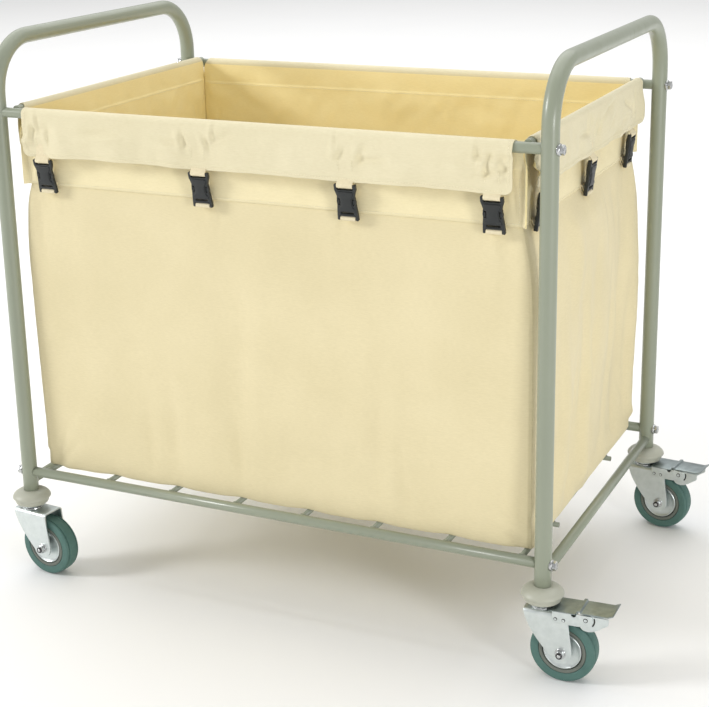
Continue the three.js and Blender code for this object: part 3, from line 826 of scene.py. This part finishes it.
def stitch(start, end):
    """One short stitch: a thread that dives into the cloth at both ends."""
    along = (end - start).normalized()
    side = along.cross(Z if abs(along.z) < 0.8 else X).normalized()
    up = along.cross(side)
    dive = (end - start) * 0.2
    ring = [side * STITCH_R, up * STITCH_R, -side * STITCH_R, -up * STITCH_R]
    points = [start] + [start + dive + r for r in ring] + [end - dive + r for r in ring] + [end]
    faces = [(0, 1 + (k + 1) % 4, 1 + k) for k in range(4)]
    faces += [(1 + k, 1 + (k + 1) % 4, 5 + (k + 1) % 4, 5 + k) for k in range(4)]
    faces += [(9, 5 + k, 5 + (k + 1) % 4) for k in range(4)]
    return points, faces


def stitched(place, start, end):
    """Stitches along place(distance) from one distance to another."""
    made = []
    d = start
    while d + STITCH_LENGTH < end:
        made.append(stitch(place(d), place(d + STITCH_LENGTH)))
        d += STITCH_PITCH
    return made


def panel_stitches(panel):
    hem_s = panel.length - HEM_WIDTH + 3
    proud = STITCH_R * 0.5
    inner = -CLOTH - proud
    reach = panel.half - CUFF_CORNER
    made = stitched(lambda a: panel.point(a, hem_s, proud), -reach, reach)
    top_seam = panel.rise - TOP_SEAM_DROP - 2
    for side in (-1, 1):
        edge = side * (panel.half - HEM_WIDTH + 3)
        made += stitched(lambda s: panel.point(edge, s, proud), panel.rise + 4, panel.length - CUFF_CORNER)
        band = side * (panel.band_half - HEM_WIDTH + 3)
        made += stitched(lambda s: panel.point(band, s, inner), 6, panel.rise * 0.6)
    wide = panel.band_half - 2
    made += stitched(lambda a: panel.point(a, 4, inner), -wide, wide)
    made += stitched(lambda a: panel.point(a, top_seam, proud), -panel.half, panel.half)
    for strap in panel.straps:
        for side in (-1, 1):
            a = strap + side * (WEBBING_HALF - 2)
            made += stitched(lambda s: panel.point(a, s, proud), panel.length - 32, panel.length - 12)
    return made


def add_panels(panels):
    made = {}
    for name, panel in panels.items():
        mesh = make_mesh(f"panel_{name}", [grid(panel.rows())], sharp=60, weld=False)
        columns = len(panel.across()) - 1
        band_rows = sum(s < panel.rise for s in panel.stations())
        # The band's inward face and the cuff's underside take the inside copy of the canvas, whose colour
        # holds painted bounce light.
        for polygon in mesh.polygons:
            polygon.material_index = 1 if polygon.index < band_rows * columns else 0
        # The band's outer face takes the brighter band copy of the canvas: painted light against the cuff's
        # shadow.
        finish = [CUFF_CANVAS, INSIDE_CANVAS_PAINTED_BOUNCE, BAND_CANVAS_PAINTED_LIGHT]
        obj = put(f"cuff_{name}", mesh, CART, "frame", finish, [f"bag_cuff_{name}"])
        thicken(obj, CLOTH, back=1)
        stitches = make_mesh(f"stitches_{name}", panel_stitches(panel), weld=False, sharp=80)
        thread = put(f"stitching_{name}", stitches, CART, "frame", THREAD)
        made[name] = (obj, thread)
    return made


BAG_CORNER = 9
BAG_EDGE = 4
SHELL_TOP_Z = SEAM_Z + 8
SHELL_X = SIDE_BAR_X - SIDE_BAR_R - CLOTH_CLEAR - 1.0
SHELL_Y = POST_Y - RAIL_R - CLOTH_CLEAR - 1.0
END_BULGE = high("bag_body").x - ORIGIN.x - SHELL_X
REAR_BULGE = high("bag_body").y - ORIGIN.y - SHELL_Y
FOOT_TUCK = 11
CORNER_RIDGE = 0.9
SAG = 2.6


# The walls are numbered round the bag: right, rear, left and front.
WALLS = ("right", "rear", "left", "front")
END_SIDES = (0, 2)


def wall_limits(z):
    """Low X, high X, low Y and high Y of the bag's walls at a height."""
    t = min(max((z - BAG_BOTTOM_Z) / (SEAM_Z - BAG_BOTTOM_Z), 0), 1)
    x = SHELL_X + END_BULGE * (1 - t**9) - 2 * (1 - t)
    front = SHELL_Y - FOOT_TUCK * (1 - t) ** 1.3
    rear = SHELL_Y + REAR_BULGE * (1 - t**7) - (FOOT_TUCK + REAR_BULGE) * (1 - t) ** 2
    return -x, x, -front, rear


def wall_half(side, z):
    """Half a wall's width at a height."""
    x0, x1, y0, y1 = wall_limits(z)
    return (y1 - y0) / 2 if side in END_SIDES else (x1 - x0) / 2


def wall_creases(panels):
    """The creases of each wall: short ones below the straps and at the corners, and long folds."""
    draw = random.Random(5).uniform
    creases = {}
    for index, name in enumerate(WALLS):
        panel = panels[name]
        half = panel.band_half
        made = []
        for strap in panel.straps:
            for _ in range(2):
                start = strap + draw(-16, 16)
                made.append((start, SEAM_Z - 2, start + draw(-18, 18), SEAM_Z - draw(30, 90),
                             draw(0.8, 1.8), draw(3, 6)))
        for end in (-1, 1):
            for _ in range(4):
                start = end * (half + 6 - draw(0, 14))
                made.append((start, BAG_BOTTOM_Z + draw(4, 26), start - end * draw(20, 90),
                             BAG_BOTTOM_Z + draw(25, 150), draw(1.0, 2.4), draw(4, 8)))
            for _ in range(3):
                start = end * (half - draw(2, 20))
                made.append((start, SEAM_Z - 4, start - end * draw(-6, 34), SEAM_Z - draw(60, 200),
                             draw(1.2, 2.6), draw(4, 9)))
        is_end = name in ENDS
        strength = 1.8 if is_end else 1.0
        for _ in range(5 if is_end else 6):
            start = draw(-half * 0.9, half * 0.9)
            base = BAG_BOTTOM_Z + draw(5, 60)
            made.append((start, base, start + draw(-20, 20), base + draw(120, 380),
                         draw(1.8, 3.6) * strength, draw(9, 20)))
        creases[index] = made
    return creases


def wall_lift(side, f, a, z, creases):
    """How far a wall stands out from its limits, at f across it from -1 to 1."""
    t = (z - BAG_BOTTOM_Z) / (SEAM_Z - BAG_BOTTOM_Z)
    pinned = smooth(t / 0.08) * smooth((1 - t) / 0.1)
    flat = max(1 - f * f, 0)
    ends = side in END_SIDES
    total = (2.5 if ends else 4.0) * flat * math.sin(math.pi * min(max(t, 0), 1))
    total += pinned * flat**0.4 * 5.5 * ripple(a, side * 900, z, 170, 2)
    total += pinned * flat**0.3 * 1.2 * ripple(a, side * 900, z, 60, 4)
    folds = ripple(a, side * 900, z * 0.22, 84, 7) + 0.25 * ripple(a, side * 900, z * 0.3, 33, 8)
    total += pinned * flat**0.3 * (20 if ends else 5) * folds
    total += smooth((1 - t) / 0.03) * 0.5 * ripple(a, side * 900, z, 22, 6)
    total += creased(creases[side], a, z, 0.25)
    if not ends:
        for x in SLAT_XS:
            total -= 1.1 * hump(a - x, 9) * hump(z - BAG_BOTTOM_Z, 26)
    return total * smooth((SEAM_Z + 4 - z) / 10)


def floor_sag(x):
    """How far the bag's floor hangs below the tops of the slats."""
    nearest = min(abs(x - slat) for slat in SLAT_XS)
    return SAG * smooth((nearest - 4) / 34)


def wall_point(station, z, creases, inset=0.0):
    """One point of the walls.

    A station is (side, f, c): f from -1 to 1 across the flat, or c from 0 to 1 round the corner after it.
    """
    side, f, c = station
    x0, x1, y0, y1 = wall_limits(z)
    r = BAG_CORNER
    corners = [Vector((x1 - r, y1 - r)), Vector((x0 + r, y1 - r)), Vector((x0 + r, y0 + r)),
               Vector((x1 - r, y0 + r))]
    if c is None:
        angle = math.radians(90 * side)
        base = corners[side - 1].lerp(corners[side], (f + 1) / 2)
        lift = wall_lift(side, f, f * wall_half(side, z), z, creases)
    else:
        after = (side + 1) % 4
        angle = math.radians(90 * side + 90 * c)
        base = corners[side]
        first = wall_lift(side, 1.0, wall_half(side, z), z, creases)
        second = wall_lift(after, -1.0, -wall_half(after, z), z, creases)
        lift = first + (second - first) * smooth(c) + CORNER_RIDGE * hump(c - 0.5, 0.1)
    out = Vector((math.cos(angle), math.sin(angle)))
    spot = base + out * (r + lift - inset)
    return Vector((spot.x, spot.y, z))


def shell_stations():
    made = []
    for side in range(4):
        length = 2 * (SHELL_Y if side in END_SIDES else SHELL_X)
        for f in spaced(-1, 1, 2 * 6.5 / length):
            made.append((side, f, None))
        for i in range(1, 12):
            made.append((side, 1, i / 12))
    return made


def shell_rows(creases):
    """Rings of the bag from the middle of its floor to the top edge of its walls."""
    stations = shell_stations()
    start_z = BAG_BOTTOM_Z + BAG_EDGE
    foot = [wall_point(station, start_z, creases) for station in stations]
    centre = sum(foot, Vector()) / len(foot)
    rows = []
    for k in spaced(0, 0.96, 0.04) + [0.98]:
        row = []
        for p in foot:
            x, y = centre.x + (p.x - centre.x) * k, centre.y + (p.y - centre.y) * k
            crumple = 0.8 * abs(ripple(x, y, 0, 45, 8))
            row.append(Vector((x, y, BAG_BOTTOM_Z - floor_sag(x) + crumple)))
        rows.append(row)
    for i in range(1, 6):
        angle = math.radians(90 * i / 6)
        row = []
        for station, p in zip(stations, foot):
            q = wall_point(station, start_z, creases, inset=BAG_EDGE * (1 - math.sin(angle)))
            rise = BAG_EDGE * (1 - math.cos(angle))
            row.append(Vector((q.x, q.y, BAG_BOTTOM_Z + rise - floor_sag(p.x) * (1 - 0.1 * i))))
        rows.append(row)
    for z in spaced(start_z, SEAM_Z, 7) + [SEAM_Z + 4, SHELL_TOP_Z]:
        settle = hump(z - start_z, 16) * 0.4
        row = []
        for station in stations:
            p = wall_point(station, z, creases)
            row.append(Vector((p.x, p.y, p.z - floor_sag(p.x) * settle)))
        rows.append(row)
    return rows


def add_shell(panels):
    creases = wall_creases(panels)
    mesh = make_mesh("bag_shell", [grid(shell_rows(creases), closed=True)], sharp=70, weld=True)
    # The bag's inside takes the inside copy of the canvas, with its painted bounce light.
    shell = put("bag", mesh, CART, "frame", [CANVAS, INSIDE_CANVAS_PAINTED_BOUNCE], ["bag_body"])
    thicken(shell, CLOTH, back=1)
    seam = []
    for side in range(4):
        half = SHELL_Y if side in END_SIDES else SHELL_X

        def inside(d):
            return wall_point((side, d / half, None), SEAM_Z + 5, creases, inset=CLOTH + STITCH_R * 0.5)

        seam += stitched(inside, -half + 2, half - 2)
    mesh = make_mesh("seam_stitches", seam, weld=False, sharp=80)
    thread = put("stitching_inside", mesh, CART, "frame", THREAD)
    return shell, thread


# ---- straps and buckles, in a buckle's own axes: X out, Y across and Z up from its middle ----
def strap_strip(path, half=WEBBING_HALF):
    t = WEBBING_THICKNESS / 2
    section = [(-half, -t), (-half + 0.5, -t * 1.3), (half - 0.5, -t * 1.3), (half, -t),
               (half, t), (half - 0.5, t * 1.3), (-half + 0.5, t * 1.3), (-half, t)]
    return swept(path, section)


def curved(points, steps=6):
    """A smooth path through (x, z) points in the plane where Y is 0."""
    pts = [Vector((x, 0, z)) for x, z in points]
    pts = [pts[0] * 2 - pts[1], *pts, pts[-1] * 2 - pts[-2]]
    path = []
    for i in range(1, len(pts) - 2):
        p0, p1, p2, p3 = pts[i - 1 : i + 3]
        for k in range(steps):
            t = k / steps
            path.append(0.5 * (2 * p1 + (p2 - p0) * t + (2 * p0 - 5 * p1 + 4 * p2 - p3) * t * t
                               + (3 * p1 - p0 - 3 * p2 + p3) * t**3))
    path.append(pts[-2])
    return path


def strap_shapes(lean):
    """The webbing of one buckle: its upper loop, the loose tail behind it and its lower loop."""
    def behind_cuff(z):
        return -3.0 - (z - 25) * math.tan(lean)

    upper = [(behind_cuff(52), 52), (behind_cuff(42), 42), (behind_cuff(34) + 0.8, 34), (2.6, 27.5),
             (1.8, 23.5), (-1.8, 22.5)]
    tail = [(-1.8, 22.5), (-4.4, 23.2), (-5.6, 19), (-5.8, 12), (-5.4, 6), (-5.2, 2)]
    lower = [(-11.5, -12), (-9.5, -20), (-5, -26), (-1, -28.6), (2.6, -27.4), (2.9, -24.4), (0.2, -22.4),
             (-5, -20), (-9.4, -13)]
    return [strap_strip(curved(upper)), strap_strip(curved(tail)), strap_strip(curved(lower), 11.8)]


def buckle_mesh():
    """A side-release buckle: strap bars above and below, a waisted body and two prongs in side windows."""
    body = mirrored([(-12.9, 25.8), (-13.2, 28), (-17, 28), (-17, 19.5), (-14.6, 13), (-13.6, 9),
                     (-14.2, 7.5), (-14.6, -4), (-15.6, -12), (-16.2, -20), (-16.6, -28), (-12.4, -28),
                     (-12.2, -21.5)])
    slot = rounded(mirrored([(-12.6, 23.6), (-12.6, 19.8)]), 1, 3)
    low_slot = rounded(mirrored([(-10.5, -15.2), (-10.5, -17.6)]), 0.9, 3)
    windows = [rounded([(s * 9.6, 6.4), (s * 13.2, 6.0), (s * 13.4, -3.4), (s * 9.8, -4.2)], 1.6, 4)
               for s in (-1, 1)]
    outer = plate([rounded(body, 1.6, 4), slot, low_slot, *windows], -2.9, 2.9, 0.8)
    face = mirrored([(-12.9, 17.6), (-11.6, 10), (-8.6, 7), (-8.4, -5.4), (-12.6, -8.6), (-13.4, -13.6)])
    panel = plate([rounded(face, 2, 5)], -4.4, 4.4, 1.3)
    bar = rod((-13, 0, 26.2), (13, 0, 26.2), 1.7, 16)
    low_bar = rod((-14, 0, -25.6), (14, 0, -25.6), 1.7, 16)
    rib = plate([rounded(mirrored([(-11, -18.6), (-11, -20.2)]), 0.7, 3)], -3.6, 3.6, 0.5)
    prongs = []
    for s in (-1, 1):
        prong = [(s * 10.4, 5.2), (s * 14.6, 4.4), (s * 15.3, 0), (s * 14.2, -2.8), (s * 10.6, -3.4)]
        prongs.append(plate([rounded(prong, 1.6, 4)], -2.4, 2.4, 0.7))
    to_face = turn(90, "Z")
    shapes = [moved(s, to_face) for s in (outer, panel, bar, low_bar, rib, *prongs)]
    return make_mesh("buckle", shapes, sharp=40, weld=True)


# How far a buckle leans out over its own height.
STRAP_HEIGHT = 56
LONG_LEAN = math.atan2(12, STRAP_HEIGHT)
SIDE_LEAN = math.atan2(7, STRAP_HEIGHT)


def add_buckles(panels):
    mesh = buckle_mesh()
    straps = {}
    for name, panel in panels.items():
        lean = SIDE_LEAN if name in ENDS else LONG_LEAN
        tilt = Matrix.Rotation(lean, 4, "Y")
        webbing = make_mesh(f"strap_{name}", strap_shapes(lean), sharp=50, weld=False)
        straps[name] = []
        for node in panel.buckles:
            spot = node.removeprefix("buckle_")
            place = Matrix.Translation(middle(node) * MM) @ panel.turn @ tilt
            put(f"clip_{spot}", mesh, place, "frame", BLACK_PLASTIC, [node])
            strap = put(f"strap_{spot}", webbing, place, "frame", WEBBING)
            straps[name].append(strap)
    return straps


# ---- the casters, about the swivel axis and trailing towards +X ----
def bumper_mesh():
    profile = [(POST_R + 0.1, 140), (POST_R + 0.1, 144.6), (15, 144.6), (20, 143.4), (24, 141.6),
               (27.5, 139.4), (30, 136.8), (31.5, 134.4), (32, 132.6), (31.9, 131.6), (31.3, 130.9),
               (29.2, 130.7), (28.7, 129.8), (27.9, 124.4), (27.1, 122.4), (25.8, 121.3), (24, 121),
               (13, 121)]
    return make_mesh("bumper", [lathe(profile, 72)], sharp=22)


def stem_mesh():
    upper = [(0, 121.2), (18.4, 121.2), (19, 120.4), (19.4, 118.6), (18.8, 117.2), (17.4, 116.4),
             (0, 116.4)]
    pin = [(5.2, 117), (5.2, 109), (9, 109), (9, 106.6), (8, 106), (0, 106)]
    return make_mesh("stem", [lathe(upper, 56), lathe(pin, 32)])


def leg_end_half(z):
    """Half the width of a fork leg's round end."""
    return math.sqrt(max(LEG_END_R**2 - (z - WHEEL_R) ** 2, 0))


def leg_rear(z):
    """X of the rear edge of a fork leg: a curve down from the top, and then round the axle."""
    if z <= LEG_TURN_Z:
        return AXLE_X - leg_end_half(z)
    foot_x = AXLE_X - leg_end_half(LEG_TURN_Z)
    fall = (FORK_TOP_Z - z) / (FORK_TOP_Z - LEG_TURN_Z)
    return FORK_REAR_X + (foot_x - FORK_REAR_X) * fall**1.6


def leg_front(z):
    """X of the front edge of a fork leg."""
    if z <= WHEEL_R:
        return AXLE_X + leg_end_half(z)
    fall = (FORK_TOP_Z - z) / (FORK_TOP_Z - WHEEL_R)
    return FORK_FRONT_X + (AXLE_X + LEG_END_R - FORK_FRONT_X) * smooth(fall)


def fork_shell_mesh():
    """The fork as one folded sheet, at the middle of its thickness."""
    y, top, bend = WALL_Y - FORK_SHEET / 2, FORK_TOP_Z - FORK_SHEET / 2, 5.0
    foot = LEG_END_R - 0.05
    heights = [WHEEL_R - foot * math.cos(math.radians(90 * i / 12)) for i in range(13)]
    heights += spaced(WHEEL_R, top - bend, 6)[1:]
    leg = [(y, z) for z in heights]
    leg += arc((y - bend, top - bend), bend, 15, 90, 5)
    section = leg + [(-b, z) for b, z in reversed(leg)]
    rows = []
    for b, z in section:
        start, end = leg_rear(z), leg_front(z)
        rows.append([Vector((start + (end - start) * k / 10, b, z)) for k in range(11)])
    return make_mesh("fork_shell", [grid(rows)], sharp=40)


def on_bracket(shape, x, z, side):
    """A shape drawn upright, laid on the outer face of the bracket's side."""
    return moved(shape, at(x, side * (WALL_Y + BRACKET_SHEET), z) @ turn(-90 * side, "X"))


def race_shape():
    return lathe([(6, 112), (17.4, 112), (18, 113.4), (17.6, 114.8), (15.4, 115.9), (6, 116)], 56)


def bracket_shapes(px, pz):
    """The brake bracket riveted to both legs, with the notch in its upper edge and the pedal's pivot."""
    side = [(21.6, 117.6), (21.6, 99), (62.8, 99.5)]
    side += arc((px, pz), 10.5, 238, 402, 16)
    side += [(57.6, 118.6), (56.6, 114.4), (53.4, 113.2), (50.4, 114.8), (49.6, 118.4)]
    outer = WALL_Y + BRACKET_SHEET
    shapes = rivet_shapes(px, pz, [(0.72, 0), (0.7, 0.9), (0.5, 1.1), (0.3, 0.7), (0, 0.65)])
    for sign in (-1, 1):
        y0, y1 = sorted((sign * WALL_Y, sign * outer))
        shapes.append(plate([rounded(side, 1.2, 3)], y0, y1, 0.35))
    return shapes


def bracket_top_shape(px):
    outer = WALL_Y + BRACKET_SHEET
    end = px - 15.5
    return plate([[(20.2, 116.2), (end, 117.2), (end, 118.8), (20.2, 117.8)]], -outer, outer, 0.5)


def rivet_shapes(px, pz, profile):
    """The bracket's rivet heads and the pedal's pivot ends, and the flat dark discs of painted shade under
    them. A profile's radii are shares of a rivet's radius.
    """
    shapes = []
    for x, z, radius in ((26.7, 105.7, 2.7), (38.9, 105.4, 2.7), (px, pz, 3.4)):
        turned = lathe([(r * radius, h) for r, h in profile], 24)
        shapes += [on_bracket(turned, x, z, side) for side in (-1, 1)]
    return shapes


def tread_shape(px, pz):
    """The pedal's tread plate with its upturned lip."""
    outline = [(-13.4, 5), (-12.4, 10), (-9.8, 10.2), (-8.4, 7.6), (32, 8.4), (39.8, 12), (40.4, 12.8),
               (39.6, 13.6), (31.4, 10), (-7.6, 9.2), (-9.2, 12), (-13.6, 11.4), (-14.8, 5.6)]
    return plate([shifted(outline, px, pz)], -21.2, 21.2, 0.25)


def slot_outline(px, pz):
    """The curved slot in a cheek, just clear of the bracket."""
    return arc((px, pz), 13.8, -42, 20, 10) + arc((px, pz), 11.6, 20, -42, 10)


def slot_shade_shapes(px, pz):
    """Dark plates set in each cheek's slot: painted shade where one looks through it."""
    return [plate([slot_outline(px, pz)], y0, y1, 0.1) for y0, y1 in ((-20.8, -19.8), (19.8, 20.8))]


def pedal_shapes(px, pz):
    """The brake pedal below its tread: two cheeks, the barrel and the shoe."""
    cheek = shifted([(-9.4, 6.4), (-8.8, -13), (-4, -17.4), (4, -18.7), (11, -17), (17.6, -13.4), (33, -3),
                     (33.4, 7)], px, pz)
    outlines = [rounded(cheek, 2.4, 4), slot_outline(px, pz)]
    shapes = [plate(outlines, y0, y1, 0.3) for y0, y1 in ((-21.2, -19.6), (19.6, 21.2))]
    shapes.append(moved(lathe([(0, -19.8), (7, -19.8), (7, 19.8), (0, 19.8)], 28),
                        at(px, 0, pz) @ turn(90, "X")))
    foot = math.radians(257)
    along = Vector((math.cos(foot), 0, math.sin(foot)))
    for start, end, thick in ((3, 18.4, 2), (17, 20, 6)):
        path = [Vector((px, 0, pz)) + along * d for d in (start, end)]
        shapes.append(swept(path, [(-11, -thick), (11, -thick), (11, thick), (-11, thick)]))
    return shapes


def wheel_shape(half, sides, closed=True):
    """A turned shape about the axle, from the half of its profile on one side of the wheel."""
    profile = half + [(r, -h) for r, h in reversed(half)]
    return moved(lathe(profile, sides, closed), turn(90, "X"))


def hub_mesh():
    """The zinc centre of a wheel about its axle: a boss, dished discs and the rolled rim."""
    half = [(4.6, 18.6), (8.6, 18.6), (9, 18), (9.2, 12.4), (10.4, 11.2), (13, 10.7), (20, 10.5),
            (24.6, 11.2), (26.6, 12.4), (27.6, 13.1), (28.4, 13.1), (28.9, 12.6), (29, 9.6)]
    return make_mesh("hub", [wheel_shape(half, 72, closed=False)])


def core_mesh():
    """The ring between hub and tyre, with a dark gap round the hub."""
    half = [(28.9, 9.5), (30.3, 9.6), (30.5, 12.8), (31, 13.5), (32.4, 13.7), (35, 13.7), (35.5, 13.2),
            (35.6, 12.2), (36.2, 12)]
    return make_mesh("core", [wheel_shape(half, 72)])


def tyre_mesh():
    """The tyre, with a groove near each edge of its tread."""
    half = [(36, 12), (36.3, 13.3), (37.2, 13.9), (44.4, 14), (47, 13.8), (48.3, 13.1), (49, 12),
            (49.3, 10.8), (49.2, 10.4), (47.9, 10.1), (47.9, 8.9), (49.4, 8.6), (49.8, 7.6), (50, 3)]
    return make_mesh("tyre", [wheel_shape(half, 96)], sharp=30)


def axle_shapes():
    """The nut and the threaded end on the -Y side, and the bolt's head on the other."""
    washer = lathe([(0, 0), (8.2, 0), (8.2, 0.9), (7.6, 1.2), (0, 1.2)], 32)
    nut = prism(6, 7.2, 1.2, 6.2)
    collar = lathe([(6, 6.1), (5.9, 7.2), (5.4, 7.7), (4, 7.7)], 28)
    tip = lathe([(2.9, 9), (2.9, 9.7), (2.4, 10), (0, 10)], 24)
    head = prism(6, 7.2, 1.0, 4.8)
    dome = lathe([(5.8, 4.7), (5.2, 5.1), (0, 5.2)], 28)
    front = at(AXLE_X, -WALL_Y, WHEEL_R) @ turn(90, "X")
    back = at(AXLE_X, WALL_Y, WHEEL_R) @ turn(-90, "X") @ turn(11, "Z")
    ends = [moved(shape, front) for shape in (washer, nut, collar, tip)]
    return ends + [moved(shape, back) for shape in (washer, head, dome)]


def thread_end_mesh():
    turns = [(4.9 if i % 2 else 4.5, 6 + 0.45 * i) for i in range(8)]
    end = lathe([*turns, (4.3, 9.9), (3.1, 9.9), (3.1, 9.2), (0, 9.2)], 28)
    place = at(AXLE_X, -WALL_Y, WHEEL_R) @ turn(90, "X")
    return make_mesh("thread_end", [moved(end, place)])


# Each piece's name, the body that it rides on, its slot, its material and the node that it stands for.
CASTER_PIECES = [
    ("buffer", "frame", "bumper_plastic", BUMPER_PLASTIC, "bumper"),
    ("stem", "frame", "zinc_plate", ZINC, "caster_stem"),
    ("fork", "caster", "zinc_plate", ZINC, "caster_fork"),
    ("race", "caster", "zinc_plate", BRIGHT_ZINC, None),
    ("axle_nuts", "caster", "zinc_plate", BRIGHT_ZINC, "caster_axle"),
    ("axle_thread", "caster", "zinc_plate", DARK_STEEL_AND_PAINTED_SHADE, None),
    ("hub", "wheel", "zinc_plate", ZINC, "wheel_hub"),
    ("core", "wheel", "tyre_rubber", CORE, None),
    ("tyre", "wheel", "tyre_rubber", TYRE, "wheel_tyre"),
]
BRAKE_PIECES = [
    ("bracket", "caster", "zinc_plate", ZINC, None),
    # The bracket's top and the tread below take the darker zinc: painted dark reflection.
    ("bracket_top", "caster", "zinc_plate", ZINC_PAINTED_DARK_REFLECTION, None),
    # Dark discs under the rivet heads: painted shade rings.
    ("rivet_shade_rings", "caster", "zinc_plate", DARK_STEEL_AND_PAINTED_SHADE, None),
    ("pedal", "brake", "zinc_plate", ZINC, "brake_pedal"),
    # Dark plates in each cheek's slot opening: painted shade.
    ("slot_shade", "brake", "zinc_plate", DARK_STEEL_AND_PAINTED_SHADE, None),
    ("tread", "brake", "zinc_plate", ZINC_PAINTED_DARK_REFLECTION, None),
]


def add_caster(where, meshes):
    swivel = joint_place(f"caster_swivel_{where}")
    spin = joint_place(f"wheel_spin_{where}")
    trail = Matrix.Rotation(math.atan2(spin.y - swivel.y, spin.x - swivel.x), 4, "Z")
    upright = Matrix.Translation(Vector((swivel.x, swivel.y, 0)) * MM)
    places = {"frame": upright, "caster": upright @ trail, "brake": upright @ trail,
              "wheel": Matrix.Translation(spin * MM) @ trail}
    braked = f"brake_pedal_{where}" in frame["nodes"]
    for piece, body, slot, material, node in CASTER_PIECES + (BRAKE_PIECES if braked else []):
        carrier = body if body == "frame" else f"{body}_{where}"
        nodes = [f"{node}_{where}"] if node else []
        obj = put(f"{piece}_{where}", meshes[piece], places[body], carrier, material, nodes)
        if piece == "fork":
            thicken(obj, FORK_SHEET, 0.0, bevel=0.5)


def add_casters():
    swivel = joint_place("caster_swivel_right_front")
    pivot = joint_place("brake_pedal_right_front")
    px, pz = math.hypot(pivot.x - swivel.x, pivot.y - swivel.y), pivot.z
    # A flat dark disc, wider than a rivet head and under it: a painted shade ring round the head.
    rivet_shade_ring = [(1, 0), (1, 0.3), (0.95, 0.4), (0, 0.4)]
    meshes = {
        "buffer": bumper_mesh(),
        "stem": stem_mesh(),
        "fork": fork_shell_mesh(),
        "race": make_mesh("race", [race_shape()]),
        "axle_nuts": make_mesh("axle", axle_shapes(), bevel=0.4),
        "axle_thread": thread_end_mesh(),
        "hub": hub_mesh(),
        "core": core_mesh(),
        "tyre": tyre_mesh(),
        "bracket": make_mesh("bracket", bracket_shapes(px, pz), sharp=40),
        "bracket_top": make_mesh("bracket_top", [bracket_top_shape(px)], sharp=40),
        "rivet_shade_rings": make_mesh("rivet_shade_rings", rivet_shapes(px, pz, rivet_shade_ring)),
        "pedal": make_mesh("pedal", pedal_shapes(px, pz), sharp=40),
        "slot_shade": make_mesh("slot_shade", slot_shade_shapes(px, pz)),
        "tread": make_mesh("tread", [tread_shape(px, pz)], sharp=40),
    }
    for end in ENDS:
        for depth in DEPTHS:
            add_caster(f"{end}_{depth}", meshes)


# ---- the studio ----
FLOOR_REACH = 30


def add_floor():
    corners = [(a * FLOOR_REACH, b * FLOOR_REACH, 0) for a, b in ((-1, -1), (1, -1), (1, 1), (-1, 1))]
    mesh = bpy.data.meshes.new("floor")
    mesh.from_pydata(corners, [], [(0, 1, 2, 3)])
    mesh.materials.append(floor_material())
    linked("floor", mesh)


def add_softbox(name, place, target, size, power):
    light = bpy.data.lights.new(name, "AREA")
    light.shape = "RECTANGLE"
    light.size, light.size_y = size
    light.energy = power
    obj = linked(name, light)
    obj.location = place
    obj.rotation_euler = (Vector(target) - Vector(place)).to_track_quat("-Z", "Y").to_euler()


def add_light():
    world = bpy.data.worlds.new("studio")
    world.use_nodes = True
    background = world.node_tree.nodes["Background"]
    background.inputs["Color"].default_value = (1, 1, 1, 1)
    background.inputs["Strength"].default_value = 0.6
    bpy.context.scene.world = world
    target = (0, 0, 0.5)
    add_softbox("key", (-5.5, -3.4, 3.4), target, (1.6, 1.6), 240)
    add_softbox("fill", (3.3, -2.2, 0.95), target, (0.7, 1.0), 46)
    add_softbox("top", (-1.6, 3.6, 5.0), (-1.6, 3.6, 0), (9, 9), 330)


def add_camera():
    azimuth, elevation, roll = (math.radians(d) for d in (25.32, 16.85, -1.16))
    aside, lift, distance = 0.0120, 0.4225, 2.7469
    back = Vector((math.sin(azimuth) * math.cos(elevation), -math.cos(azimuth) * math.cos(elevation),
                   math.sin(elevation)))
    right = (-back).cross(Z).normalized()
    up = right.cross(-back)
    rolled_right = right * math.cos(roll) + up * math.sin(roll)
    rolled_up = up * math.cos(roll) - right * math.sin(roll)
    place = ORIGIN * MM + rolled_right * aside + rolled_up * lift + back * distance
    camera = bpy.data.cameras.new("camera")
    camera.lens = 78.8
    camera.sensor_width = 36
    camera.shift_y = -0.0705
    camera.clip_start, camera.clip_end = 0.05, 100
    obj = linked("camera", camera)
    axes = Matrix((rolled_right, rolled_up, back)).transposed()
    obj.matrix_world = Matrix.Translation(place) @ axes.to_4x4()
    bpy.context.scene.camera = obj


bpy.context.scene.view_settings.view_transform = "Standard"
add_floor()
add_light()
add_camera()
add_end_frames()
add_rails()
add_base()
add_bolts()
panels = make_panels()
cuffs = add_panels(panels)
shell = add_shell(panels)
straps = add_buckles(panels)
add_casters()
